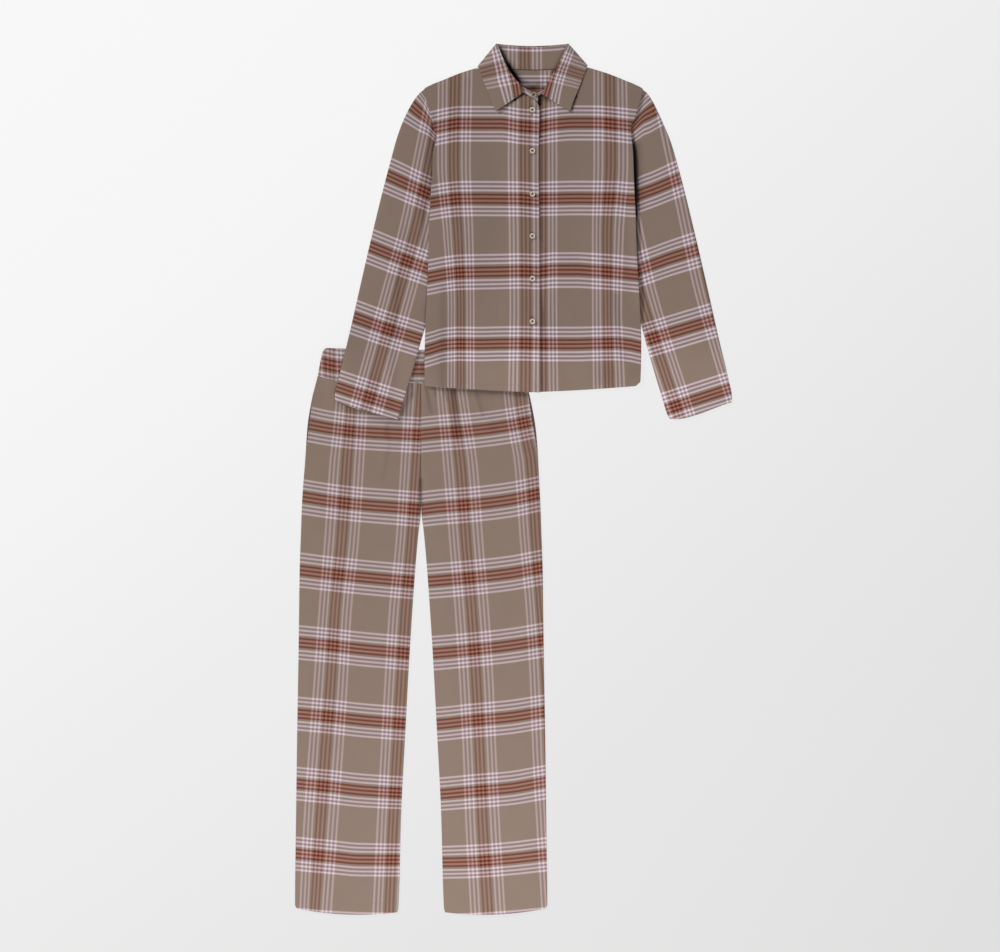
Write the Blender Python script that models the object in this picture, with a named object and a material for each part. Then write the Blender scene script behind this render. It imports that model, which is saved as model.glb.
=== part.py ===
"""Pyjama set of brushed check flannel, laid flat: a buttoned shirt over its trousers.

Right and left are the wearer's. The set lies face up on the surface, so the wearer's right
side is at -X. Every piece of cloth is a closed wall between two grids of points, and each
is laid on what already lies there. Sizes are in millimetres until a mesh is written.
"""
import math
from collections import namedtuple

import bpy
import bmesh
import numpy as np
from mathutils import Vector
from mathutils.bvhtree import BVHTree

# --- driving dimensions, millimetres ---------------------------------------------------
METRES = 0.001
WALL = 1.2               # one layer of brushed flannel
SEAM = 0.3               # gap between two pieces at a seam
AIR = 0.45               # air between layers that lie on each other
LAYER = WALL + AIR
SHIRT_AXIS = 36.0        # X of the shirt's centre line
TROUSER_AXIS = -170.8    # X of the trousers' centre seam
RIGHT, LEFT = -1, 1      # the wearer's sides, as signs of X

BAND_WALL = 3.0          # waistband: two layers of cloth with the elastic between them
BAND_FRONT_WALL = 2.4    # its front layer where a gather dips
GATHERS = 36             # waves along the front of the waistband
GATHER_DEPTH = 1.3
GATHER_UNDER_DEPTH = 0.3
SOFT_FOLDS = 5           # folds that run down from the waistband, on each front
SOFT_FOLD_DEPTH = 0.9
SOFT_FOLD_LENGTH = 90.0
WAIST_LIFT = 1.4         # how far a front comes up to meet the waistband
LEG_CROWN = 2.2          # how far a front stands off its back in the middle
BODY_CROWN = 1.2
CROWN_EDGE = 38.0        # distance from an edge to the full crown

POCKET_TOP, POCKET_END = 158.0, 44.0     # heights of the two ends of a pocket's mouth
MOUTH_OVERRUN = 14.0     # how far the mouth's curve runs on above POCKET_TOP
MOUTH_GAP = {RIGHT: 2.5, LEFT: 7.0}      # how far the mouth's edge stands back
FACING_OVERRUN = 20.0    # how far the facing runs on above POCKET_TOP
FACING_EASE = 30.0       # length over which a front comes down beyond the facing
POCKET_WALL = 1.0
POCKET_WIDTH = 16.0
FACING_INSET = 0.4       # from the back's outer edge

NECK_FOLDED = 730.0      # above this Y the folded collar holds the shirt off the surface
HEM_SHARE = 0.12         # share of the hem's sag that the fronts take

BUTTON_RADIUS = 5.2
BUTTON_SIDES = 16
BUTTON_LINE = 33.7       # X of the row of buttons
BUTTON_HEIGHTS = (679.0, 603.5, 524.0, 447.0, 368.5, 289.5)
STAND_BUTTON = (36.4, 706.7)
# Share of the radius, and height: flat underside, raised rim, dished middle.
BUTTON_PROFILE = ((0, 0.0), (0.6, 0.0), (1.0, 0.8), (0.95, 1.8), (0.78, 2.1), (0.5, 1.4), (0, 1.2))

# Cells across each piece.
BACK_CELLS, FRONT_CELLS, SHIRT_BACK_CELLS, SHIRT_FRONT_CELLS = 8, 16, 17, 10
CREASE_ANGLE = 40.0      # an edge is drawn crisp where its faces turn by more than this, degrees

# --- tables: reaches are distances from the garment's centre line ---------------------
# One leg, hem to waist seam. `sag` hangs a row in its middle and `dip` nearer its outer
# end; `closed` is 1 where the inner edge is the centre seam.
LegRow = namedtuple("LegRow", "outer outer_y inner inner_y sag dip closed steps")
LEG = (
    LegRow(229, -790, 44, -797, 7.5, 0, 0, 1),
    LegRow(232, -784, 42, -790, 7, 0, 0, 3),
    LegRow(230, -610, 36.5, -610, 2, 0, 0, 3),
    LegRow(228, -463, 29, -463, 0, 0, 0, 3),
    LegRow(225.5, -316, 21, -316, 0, 0, 0, 3),
    LegRow(223.5, -168, 11, -168, 0, 0, 0, 1),
    LegRow(221, -95, 4.5, -95, 0, 0, 0, 1),
    LegRow(220, -62, 0.4, -62, 0, 0, 0, 1),
    LegRow(219, -40, 0.2, -42, 0, 0, 1, 2),
    LegRow(215.5, 16, 0.2, 14, 0, 0, 1, 3),
    LegRow(210.5, 90, 0.2, 86, 0, 0, 1, 3),
    LegRow(201.5, 145, 0.2, 135, 0, 2, 1, 3),
    LegRow(190, 190, 0.2, 175.5, 0, 8, 1, 0),
)
# Waistband, seam to rounded upper edge.
BandRow = namedtuple("BandRow", "outer outer_y inner_y dip steps")
BAND = (
    BandRow(190, 190, 175.5, 8, 1),
    BandRow(181.5, 232, 229, 3, 1),
    BandRow(178, 238.5, 235, 1, 1),
    BandRow(173, 240.7, 237.2, 0, 0),
)
# The shirt's body, hem to neck: reach of its two side edges, and the fronts' inner edge.
BodyRow = namedtuple("BodyRow", "right side_y left sag neck neck_y steps")
BODY = (
    BodyRow(199.5, 171, 186, 12, 14.6, 159, 1),
    BodyRow(200.5, 180, 194, 10, 14.5, 169, 4),
    BodyRow(200, 247, 196.5, 2, 14, 245, 4),
    BodyRow(196.5, 329, 195, 0, 13.5, 329, 3),
    BodyRow(193, 421, 192, 0, 13, 421, 3),
    BodyRow(191, 491, 189, 0, 12.5, 491, 3),
    BodyRow(186.7, 559, 185.6, 0, 11.5, 559, 2),
    BodyRow(185, 600, 183.7, 0, 11, 600, 1),
    BodyRow(178.4, 629, 180.4, 0, 11, 629, 1),
    BodyRow(185, 648, 179.4, 0, 11, 650, 1),
    BodyRow(189, 668, 188, 0, 11, 672, 1),
    BodyRow(194.2, 683, 192.5, 0, 8, 692, 1),
    BodyRow(199, 701, 198, 0, -14, 700, 1),
    BodyRow(202, 715, 201.5, 0, -30, 711, 1),
    BodyRow(187, 726, 186.6, 0, -44, 721, 1),
    BodyRow(170, 733, 170, 0, -56, 730, 1),
    BodyRow(152, 740.6, 152, 0, -66, 738, 1),
    BodyRow(133, 748, 132, 1, -76, 746, 1),
    BodyRow(110, 755, 109, 4, -84, 752, 1),
    BodyRow(96, 758.5, 95, 7, -90, 757, 0),
)
# A sleeve, armhole to cuff: its two folded edges and how thick the flat tube is.
SleeveRow = namedtuple("SleeveRow", "outer outer_y inner inner_y sag loft steps")
SLEEVE = (
    SleeveRow(200, 717, 122, 482, 0, 2.8, 1),
    SleeveRow(208, 711, 127, 477, 0, 3.2, 1),
    SleeveRow(216, 701, 131, 472, 0, 3.8, 1),
    SleeveRow(225, 686, 135, 466, 0, 4.2, 1),
    SleeveRow(237.5, 660, 139, 457, 0, 4.6, 1),
    SleeveRow(251, 626, 143, 447, 0, 4.8, 1),
    SleeveRow(262.5, 587, 148, 434, 0, 5.0, 1),
    SleeveRow(276, 536, 155, 412, 0, 5.0, 1),
    SleeveRow(291.5, 473, 166, 374, 0, 5.0, 1),
    SleeveRow(307.5, 405, 180, 331, 0, 5.0, 2),
    SleeveRow(325, 328, 200, 275, 0, 5.0, 3),
    SleeveRow(341.5, 255, 217, 216, 0, 4.8, 4),
    SleeveRow(358, 186, 236, 153, 1, 4.4, 3),
    SleeveRow(365.8, 145, 250, 109.5, 3, 4.0, 0),
)
SLEEVE_STATIONS = (0, 0.02, 0.08, 0.2, 0.35, 0.5, 0.65, 0.8, 0.92, 0.98, 1)
SLEEVE_SQUARENESS = 6    # how square the flat tube's section is
UNDERSIDE_FULLNESS = 1.25
# The collar's two bands, right front end to back: X and Y of both long edges.
# `level` counts the layers of cloth underneath.
CollarRow = namedtuple("CollarRow", "fold_x fold_y edge_x edge_y level", defaults=(0,))
STAND_RIGHT = (
    CollarRow(44, 713, 43, 695, 3.75),
    CollarRow(27, 711, 22, 702.5, 3.75),
    CollarRow(13, 716, 2, 715, 3.0),
    CollarRow(-3, 738, -13, 727, 2.3),
    CollarRow(-14, 757, -28, 739, 2.2),
    CollarRow(-24, 777, -43, 751, 2.2),
)
STAND_LEFT = (
    CollarRow(25, 709, 24, 695, 2.0),
    CollarRow(44, 711, 45, 702.5, 2.0),
    CollarRow(61, 722, 66, 715, 2.0),
    CollarRow(72, 741, 80, 727, 2.0),
    CollarRow(83, 760, 95, 739, 2.0),
    CollarRow(92, 779, 111, 751, 2.0),
)
STAND_CREASES = (CollarRow(-29, 798.5, -56, 764), CollarRow(96, 798.5, 126, 764))
FALL_RIGHT = (
    CollarRow(19.3, 712, -33, 676, 4.6),
    CollarRow(11, 724.5, -41, 694, 4.3),
    CollarRow(1.8, 739, -47, 710, 4.1),
    CollarRow(-9.2, 756.5, -53.5, 725, 4.0),
    CollarRow(-22, 780, -60.5, 743, 3.8),
)
FALL_LEFT = (
    CollarRow(49.7, 703, 103, 675.3, 4.3),
    CollarRow(62.6, 728.5, 111, 695.5, 4.1),
    CollarRow(74, 749, 119.5, 715, 4.0),
    CollarRow(84.6, 769, 127.5, 735, 3.9),
    CollarRow(92, 785, 132.5, 747, 3.8),
)
FALL_CREASES = (CollarRow(-31, 801, -67, 761), CollarRow(98.5, 801, 137, 760.5))
BACK_NECK_SAG = 4.0      # how far the collar's back edge dips in the middle
BACK_SPREAD = 0.12       # how much wider a band is at its free edge, towards the creases
BACK_STEPS = 10
CREASE_TURN = (75, 35, 0, -35, -75)      # directions that a section takes round a crease
CREASE_LEAN = 0.15
# Behind the neck: depth of the band, and the layers of cloth under it there.
STAND_BACK_REACH, STAND_BACK_LEVEL, STAND_BULGE = 41.5, 1.0, 0.3
FALL_BACK_REACH, FALL_BACK_LEVEL, FALL_BULGE = 58.0, 0.0, 1.0
# Share of the way from the fold to the free edge, and lift.
STAND_PROFILE = ((0, 0), (0.5, 0), (1, 0))
FALL_PROFILE = ((0, -0.5), (0.1, 0.7), (0.5, 0.8), (0.9, 0.2), (1, 0))

# --- the pile: heights of what lies on the surface ------------------------------------
CELL = 4.0
PILE_X, PILE_Y = 416.0, 816.0
FLAT_STEPS = 5           # cells that cloth stays level beyond what it lies on
SLOPE = 0.16             # then it comes down at this slope
SLOPE_STEPS = 18


def smooth_rows(table):
    """Grid rows through a table's rows. The last column counts the steps to the next row."""
    data = np.array([row[:-1] for row in table], float)
    spans = np.linalg.norm(np.diff(data[:, :2], axis=0), axis=1)
    knots = np.concatenate(([0.0], np.cumsum(spans)))
    rise = np.diff(data, axis=0) / np.diff(knots)[:, None]
    slope = np.zeros_like(data)
    before, after = rise[:-1], rise[1:]
    same_way = before * after > 0
    slope[1:-1][same_way] = (2 * before * after)[same_way] / (before + after)[same_way]
    slope[0], slope[-1] = rise[0], rise[-1]
    rows = []
    for index, row in enumerate(table[:-1]):
        span = knots[index + 1] - knots[index]
        for step in range(row.steps):
            t = step / row.steps
            rows.append((1 + 2 * t) * (1 - t) ** 2 * data[index] + t * (1 - t) ** 2 * span * slope[index]
                        + t * t * (3 - 2 * t) * data[index + 1]
                        - t * t * (1 - t) * span * slope[index + 1])
    rows.append(data[-1])
    return np.array(rows)


def grid_between(first, second, sag, across, dip=0.0):
    """Plan points on rows from `first` to `second` (n x 2 arrays). Rows hang by `sag` in
    their middle, and by `dip` a third of the way along."""
    u = np.asarray(across)[None, :, None]
    plan = first[:, None, :] * (1 - u) + second[:, None, :] * u
    u = u[:, :, 0]
    plan[:, :, 1] -= np.reshape(sag, (-1, 1)) * 4 * u * (1 - u)
    plan[:, :, 1] -= np.reshape(dip, (-1, 1)) * 27 / 4 * u * (1 - u) ** 2
    return plan


def edge_rise(distance):
    """0 at an edge to 1 at CROWN_EDGE from it, rounded."""
    t = np.clip(distance / CROWN_EDGE, 0, 1)
    return 1 - (1 - t) ** 2


def with_height(plan, height):
    return np.concatenate((plan, height[:, :, None]), axis=2)


def raised(grid, amount):
    out = grid.copy()
    out[:, :, 2] += amount
    return out


def plain_material(name, colour, roughness):
    material = bpy.data.materials.new(name)
    material.use_nodes = True
    shader = material.node_tree.nodes["Principled BSDF"]
    shader.inputs["Base Color"].default_value = (*colour, 1)
    shader.inputs["Roughness"].default_value = roughness
    shader.inputs["Metallic"].default_value = 0.0
    return material


def solid(name, first, second, material, tube=False):
    """A closed wall between two grids of points. The columns of a tube run round it."""
    rows, columns = first.shape[:2]
    points = np.concatenate((first.reshape(-1, 3), second.reshape(-1, 3))) * METRES
    offset = rows * columns

    def at(side, row, column):
        return side * offset + row * columns + column % columns

    faces = []
    last = columns if tube else columns - 1
    for side in (0, 1):
        for row in range(rows - 1):
            for column in range(last):
                faces.append((at(side, row, column), at(side, row, column + 1),
                              at(side, row + 1, column + 1), at(side, row + 1, column)))
    for row in (0, rows - 1):
        for column in range(last):
            faces.append((at(0, row, column), at(0, row, column + 1),
                          at(1, row, column + 1), at(1, row, column)))
    if not tube:
        for column in (0, columns - 1):
            for row in range(rows - 1):
                faces.append((at(0, row, column), at(0, row + 1, column),
                              at(1, row + 1, column), at(1, row, column)))
    mesh = bpy.data.meshes.new(name)
    mesh.from_pydata([tuple(point) for point in points], [], faces)
    return finish_object(name, mesh, material)


def finish_object(name, mesh, material):
    """Outward faces, smooth shading with crisp edges, one material."""
    work = bmesh.new()
    work.from_mesh(mesh)
    bmesh.ops.recalc_face_normals(work, faces=work.faces)
    work.to_mesh(mesh)
    work.free()
    mesh.materials.append(material)
    mesh.shade_smooth()
    mesh.set_sharp_from_angle(angle=math.radians(CREASE_ANGLE))
    obj = bpy.data.objects.new(name, mesh)
    bpy.context.collection.objects.link(obj)
    return obj


class Pile:
    """Heights of what already lies on the surface, over a square grid of points."""

    def __init__(self):
        self.xs = np.arange(-PILE_X, PILE_X + CELL, CELL)
        self.ys = np.arange(-PILE_Y, PILE_Y + CELL, CELL)
        self.height = np.zeros((len(self.ys), len(self.xs)))
        self.blanket = self.height.copy()

    def lay(self, *objects):
        """Add objects to the pile, then spread a blanket over it."""
        for obj in objects:
            points = [vertex.co / METRES for vertex in obj.data.vertices]
            tree = BVHTree.FromPolygons(points, [face.vertices for face in obj.data.polygons])
            low = np.min(points, axis=0)
            high = np.max(points, axis=0)
            for row in np.flatnonzero((self.ys >= low[1]) & (self.ys <= high[1])):
                for column in np.flatnonzero((self.xs >= low[0]) & (self.xs <= high[0])):
                    start = Vector((self.xs[column], self.ys[row], high[2] + 1))
                    hit = tree.ray_cast(start, Vector((0, 0, -1)))[0]
                    if hit is not None:
                        self.height[row, column] = max(self.height[row, column], hit.z)
        self.blanket = self.spread()

    def spread(self):
        """Level for FLAT_STEPS round everything, then down at SLOPE, and a little smoother."""
        top = self.height
        for step in range(FLAT_STEPS + SLOPE_STEPS):
            drop = 0 if step < FLAT_STEPS else SLOPE * CELL
            wide = np.pad(top, 1)
            around = [wide[1 + dy:wide.shape[0] - 1 + dy, 1 + dx:wide.shape[1] - 1 + dx]
                      - drop * math.hypot(dx, dy)
                      for dy in (-1, 0, 1) for dx in (-1, 0, 1) if dx or dy]
            if step < FLAT_STEPS and step % 2:
                around = [around[1], around[3], around[4], around[6]]
            top = np.maximum(top, np.max(around, axis=0))
        wide = np.pad(top, 1, mode="edge")
        rows, columns = top.shape
        return sum(wide[dy:dy + rows, dx:dx + columns] for dy in range(3) for dx in range(3)) / 9

    def rest(self, plan):
        """Underside heights of cloth laid at these plan points, 0 where the surface is bare."""
        fx = (plan[..., 0] - self.xs[0]) / CELL
        fy = (plan[..., 1] - self.ys[0]) / CELL
        ix = np.clip(fx.astype(int), 0, len(self.xs) - 2)
        iy = np.clip(fy.astype(int), 0, len(self.ys) - 2)
        tx, ty = fx - ix, fy - iy
        low = self.blanket[iy, ix] * (1 - tx) + self.blanket[iy, ix + 1] * tx
        high = self.blanket[iy + 1, ix] * (1 - tx) + self.blanket[iy + 1, ix + 1] * tx
        height = low * (1 - ty) + high * ty
        return height + np.minimum(height, AIR)


# --- trousers --------------------------------------------------------------------------
def leg_plan(side, cells):
    rows = smooth_rows(LEG)
    outer = np.stack((TROUSER_AXIS + side * rows[:, 0], rows[:, 1]), axis=1)
    inner = np.stack((TROUSER_AXIS + side * rows[:, 2], rows[:, 3]), axis=1)
    across = np.linspace(0, 1, cells + 1)
    return grid_between(outer, inner, rows[:, 4], across, rows[:, 5]), rows[:, 6]


def over_facing(height):
    """1 along a pocket's facing, 0 a little beyond its ends."""
    into = np.minimum(height - POCKET_END, POCKET_TOP + FACING_EASE - height)
    return np.clip(into / FACING_EASE, 0, 1)


def trouser_back(name, side, cloth):
    plan, _ = leg_plan(side, BACK_CELLS)
    under = with_height(plan, np.zeros(plan.shape[:2]))
    return solid(name, under, raised(under, WALL), cloth)


def trouser_front(name, side, cloth):
    """Crowned over its back, with soft folds under the waistband. The edge of the pocket's
    mouth stands back, so that the pocket's facing shows."""
    plan, closed = leg_plan(side, FRONT_CELLS)
    outer_edge, inner_edge = plan[:, :1], plan[:, -1:]
    height = plan[:, :, 1]
    u = np.linspace(0, 1, plan.shape[1])[None, :]
    up_mouth = np.clip((height - POCKET_END) / (POCKET_TOP + MOUTH_OVERRUN - POCKET_END), 0, 1)
    plan[:, :, 0] -= side * MOUTH_GAP[side] * np.sin(math.pi * up_mouth) ** 0.8 * (1 - u) ** 3
    from_outer = np.abs(plan[:, :, 0] - outer_edge[:, :, 0])
    from_inner = np.abs(plan[:, :, 0] - inner_edge[:, :, 0])
    inside = np.maximum(edge_rise(from_inner), closed[:, None])
    base = WALL + SEAM + (POCKET_WALL + SEAM) * over_facing(height) * (1 - u) ** 4
    to_band = np.clip((height - (plan[-1:, :, 1] - SOFT_FOLD_LENGTH)) / SOFT_FOLD_LENGTH, 0, 1)
    folds = SOFT_FOLD_DEPTH * (1 + np.cos(2 * math.pi * SOFT_FOLDS * u)) * to_band ** 1.5
    lift = LEG_CROWN * edge_rise(from_outer) * inside + WAIST_LIFT * to_band ** 2 + folds
    under = with_height(plan, base + lift)
    return solid(name, under, raised(under, WALL), cloth)


def pocket_facing(name, side, cloth):
    """The strip of the pocket that shows in its mouth, on the back's outer edge."""
    rows = smooth_rows(LEG)
    rows = rows[(rows[:, 1] > POCKET_END) & (rows[:, 1] < POCKET_TOP + FACING_OVERRUN)]
    outer = np.stack((TROUSER_AXIS + side * (rows[:, 0] - FACING_INSET), rows[:, 1]), axis=1)
    inner = outer - (side * POCKET_WIDTH, 0)
    plan = grid_between(outer, inner, 0.0, (0, 0.5, 1))
    under = with_height(plan, np.full(plan.shape[:2], WALL + SEAM / 2))
    return solid(name, under, raised(under, POCKET_WALL - SEAM / 2), cloth)


def band_plan(cells):
    """The whole width of the waistband, right to left, with `cells` on each side."""
    rows = smooth_rows(BAND)
    across = np.linspace(0, 1, cells + 1)
    halves = []
    for side in (RIGHT, LEFT):
        outer = np.stack((TROUSER_AXIS + side * rows[:, 0], rows[:, 1]), axis=1)
        inner = np.stack((np.full(len(rows), TROUSER_AXIS), rows[:, 2]), axis=1)
        halves.append(grid_between(outer, inner, 0.0, across, rows[:, 3]))
    plan = np.concatenate((halves[0], halves[1][:, -2::-1]), axis=1)
    plan[0, :, 1] += SEAM
    return plan


def waistband_back(cloth):
    plan = band_plan(BACK_CELLS)
    under = with_height(plan, np.zeros(plan.shape[:2]))
    return solid("waistband_back", under, raised(under, BAND_WALL), cloth)


def waistband_front(cloth):
    """Gathered on its elastic: even waves across, lower along the two edges."""
    wave_cells = (0.0, 0.5, 1.0, 0.5)
    plan = band_plan(GATHERS * len(wave_cells) // 2)
    wave = np.tile(wave_cells, GATHERS + 1)[:plan.shape[1]][None, :]
    along = np.ones((plan.shape[0], 1))
    along[0], along[-1] = 0.75, 0.6
    seat = BAND_WALL + SEAM
    under = with_height(plan, seat + GATHER_UNDER_DEPTH * wave * along)
    over = with_height(plan, under[:, :, 2] + BAND_FRONT_WALL + GATHER_DEPTH * wave * along)
    return solid("waistband_front", under, over, cloth)


# --- shirt -----------------------------------------------------------------------------
def sleeve(name, side, pile, cloth):
    """One piece of cloth round a flat tube, open at the armhole and the cuff."""
    rows = smooth_rows(SLEEVE)
    outer = np.stack((SHIRT_AXIS + side * rows[:, 0], rows[:, 1]), axis=1)
    inner = np.stack((SHIRT_AXIS + side * rows[:, 2], rows[:, 3]), axis=1)
    sag, loft = rows[:, 4], rows[:, 5][:, None]
    across = np.array(SLEEVE_STATIONS)
    fullness = (1 - np.abs(2 * across - 1) ** SLEEVE_SQUARENESS) ** 0.5
    width = np.linalg.norm(outer - inner, axis=1)[:, None]
    shrunk = (WALL + across[None, :] * (width - 2 * WALL)) / width
    skins = []
    for stations, half in ((np.repeat(across[None, :], len(rows), axis=0), loft / 2),
                           (shrunk, loft / 2 - WALL)):
        u = stations[:, :, None]
        plan = outer[:, None, :] * (1 - u) + inner[:, None, :] * u
        plan[:, :, 1] -= sag[:, None] * 4 * stations * (1 - stations)
        middle = pile.rest(grid_between(outer, inner, sag, across)) + loft / 2
        top = with_height(plan, middle + half * fullness)
        low = with_height(plan, middle - half * np.minimum(1, UNDERSIDE_FULLNESS * fullness))
        skins.append(np.concatenate((top, low[:, -2:0:-1]), axis=1))
    return solid(name, skins[0], skins[1], cloth, tube=True)


def body_edges():
    """The body's grid rows: both side edges, the fronts' inner edge and the hem's sag."""
    rows = smooth_rows(BODY)
    right = np.stack((SHIRT_AXIS - rows[:, 0], rows[:, 1]), axis=1)
    left = np.stack((SHIRT_AXIS + rows[:, 2], rows[:, 1]), axis=1)
    neck = np.stack((rows[:, 4], rows[:, 5]), axis=1)
    return right, left, neck, rows[:, 3]


def shirt_back(pile, cloth):
    right, left, _, sag = body_edges()
    plan = grid_between(right, left, sag, np.linspace(0, 1, SHIRT_BACK_CELLS + 1))
    under = with_height(plan, pile.rest(plan))
    return solid("shirt_back", under, raised(under, WALL), cloth)


def shirt_front(name, side, pile, cloth):
    """One front, from its side edge to its buttoned edge past the row of buttons."""
    right, left, neck, sag = body_edges()
    outer = right if side == RIGHT else left
    mirror = -side
    reach_in = neck[:, 0] + (BUTTON_LINE - SHIRT_AXIS) * mirror
    inner = np.stack((SHIRT_AXIS + mirror * reach_in, neck[:, 1]), axis=1)
    plan = grid_between(outer, inner, HEM_SHARE * sag, np.linspace(0, 1, SHIRT_FRONT_CELLS + 1))
    from_outer = np.linalg.norm(plan - outer[:, None, :], axis=2)
    crown = BODY_CROWN * edge_rise(from_outer)
    under = with_height(plan, pile.rest(plan) + crown)
    return solid(name, under, raised(under, WALL), cloth)


# --- collar ----------------------------------------------------------------------------
def level_height(level):
    return level * LAYER + WALL / 2


def crease_turn(row, lower, upper, outward, bulge):
    """Sections round a crease, from the layer at height `upper` down to `lower`."""
    sections = []
    for angle in map(math.radians, CREASE_TURN):
        shift = outward * bulge * math.cos(angle)
        height = (upper + lower) / 2 + (upper - lower) / 2 * math.sin(angle)
        out = Vector((outward * math.cos(angle), CREASE_LEAN * math.cos(angle), math.sin(angle)))
        sections.append(((row.fold_x + shift, row.fold_y, height),
                         (row.edge_x + shift, row.edge_y, height), out.normalized()))
    return sections


def front_sections(table):
    return [((row.fold_x, row.fold_y, level_height(row.level)),
             (row.edge_x, row.edge_y, level_height(row.level)), Vector((0, 0, 1))) for row in table]


def back_sections(creases, depth, level):
    """The band behind the neck, where its outer face is turned down."""
    first, last = creases
    middle = (first.fold_x + last.fold_x) / 2
    height = level_height(level)
    sections = []
    for index in range(1, BACK_STEPS):
        t = index / BACK_STEPS
        dip = BACK_NECK_SAG * 4 * t * (1 - t)
        fold_x = first.fold_x + (last.fold_x - first.fold_x) * t
        fold_y = first.fold_y + (last.fold_y - first.fold_y) * t - dip
        spread = 1 + BACK_SPREAD * math.cos(math.pi * t) ** 2
        edge_x = middle + (fold_x - middle) * spread
        sections.append(((fold_x, fold_y, height), (edge_x, fold_y - depth, height), Vector((0, 0, -1))))
    return sections


def collar_band(name, right, left, creases, back, profile, cloth):
    """A band round the neck, flattened: right front, right crease, back, left crease, left.
    `back` gives its depth, level and bulge behind the neck."""
    depth, back_level, bulge = back
    lower = level_height(back_level)
    sections = front_sections(right)
    sections += crease_turn(creases[0], lower, level_height(right[-1].level), -1, bulge)
    sections += back_sections(creases, depth, back_level)
    sections += crease_turn(creases[1], lower, level_height(left[-1].level), 1, bulge)[::-1]
    sections += front_sections(left)[::-1]
    first, second = [], []
    for fold, edge, out in sections:
        fold, edge = Vector(fold), Vector(edge)
        line = [fold.lerp(edge, t) + out * lift * max(out.z, 0) for t, lift in profile]
        first.append([point + out * WALL / 2 for point in line])
        second.append([point - out * WALL / 2 for point in line])
    return solid(name, np.array(first), np.array(second), cloth)


def collar_stand(cloth):
    back = (STAND_BACK_REACH, STAND_BACK_LEVEL, STAND_BULGE)
    return collar_band("collar_stand", STAND_RIGHT, STAND_LEFT, STAND_CREASES, back, STAND_PROFILE, cloth)


def collar_fall(cloth):
    """The part that folds over: rolled along its fold, flatter towards its points."""
    back = (FALL_BACK_REACH, FALL_BACK_LEVEL, FALL_BULGE)
    return collar_band("collar_fall", FALL_RIGHT, FALL_LEFT, FALL_CREASES, back, FALL_PROFILE, cloth)


# --- buttons ---------------------------------------------------------------------------
def button(name, x, y, pile, material):
    """A turned disc with a raised rim and a dished middle, on the cloth under it."""
    angles = [2 * math.pi * step / BUTTON_SIDES for step in range(BUTTON_SIDES)]
    around = np.array([[math.cos(angle), math.sin(angle)] for angle in angles]) * BUTTON_RADIUS
    footprint = np.concatenate((around, [[0, 0]])) + (x, y)
    seat = float(np.max(pile.rest(footprint[None, :, :]))) + SEAM
    work = bmesh.new()
    rings = []
    for share, height in BUTTON_PROFILE[1:-1]:
        rings.append([work.verts.new(((x + dx * share) * METRES, (y + dy * share) * METRES,
                                      (seat + height) * METRES)) for dx, dy in around])
    for low, high in zip(rings, rings[1:]):
        for step in range(len(angles)):
            following = (step + 1) % len(angles)
            work.faces.new((low[step], low[following], high[following], high[step]))
    work.faces.new(rings[0])
    top = work.verts.new((x * METRES, y * METRES, (seat + BUTTON_PROFILE[-1][1]) * METRES))
    for step in range(len(angles)):
        work.faces.new((rings[-1][step], rings[-1][(step + 1) % len(angles)], top))
    mesh = bpy.data.meshes.new(name)
    work.to_mesh(mesh)
    work.free()
    return finish_object(name, mesh, material)


def build():
    for obj in list(bpy.data.objects):
        bpy.data.objects.remove(obj, do_unlink=True)
    cloth = plain_material("flannel", (0.235, 0.150, 0.128), 0.92)
    pile = Pile()

    trousers = [
        trouser_back("trousers_back_right", RIGHT, cloth),
        trouser_back("trousers_back_left", LEFT, cloth),
        trouser_front("trousers_front_right", RIGHT, cloth),
        trouser_front("trousers_front_left", LEFT, cloth),
        waistband_back(cloth),
        waistband_front(cloth),
        pocket_facing("pocket_facing_right", RIGHT, cloth),
        pocket_facing("pocket_facing_left", LEFT, cloth),
    ]
    pile.lay(*trousers)

    sleeves = [sleeve("sleeve_right", RIGHT, pile, cloth), sleeve("sleeve_left", LEFT, pile, cloth)]
    collar_fall(cloth)
    near_neck = pile.ys > NECK_FOLDED
    pile.height[near_neck] = np.maximum(pile.height[near_neck], WALL)
    pile.lay(*sleeves)

    back = shirt_back(pile, cloth)
    pile.lay(back)
    left_front = shirt_front("shirt_front_left", LEFT, pile, cloth)
    pile.lay(left_front)
    right_front = shirt_front("shirt_front_right", RIGHT, pile, cloth)
    stand = collar_stand(cloth)
    pile.lay(right_front, stand)

    buttons = plain_material("button", (0.66, 0.60, 0.54), 0.35)
    for index, height in enumerate(BUTTON_HEIGHTS):
        button(f"button_{index + 1}", BUTTON_LINE, height, pile, buttons)
    button("button_stand", *STAND_BUTTON, pile, buttons)


build()
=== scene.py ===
# %% [markdown]
# # A flannel pyjama set, laid flat
# The set is a buttoned shirt lying over its trousers. The cut pieces are already there as
# plain solids: they say where everything is. This lesson dresses each one as cloth, with its
# soft folds, its hems and seams, and above all its woven check, which has to run along the
# threads of every piece. Right and left are the wearer's, so right is towards -X.

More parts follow.
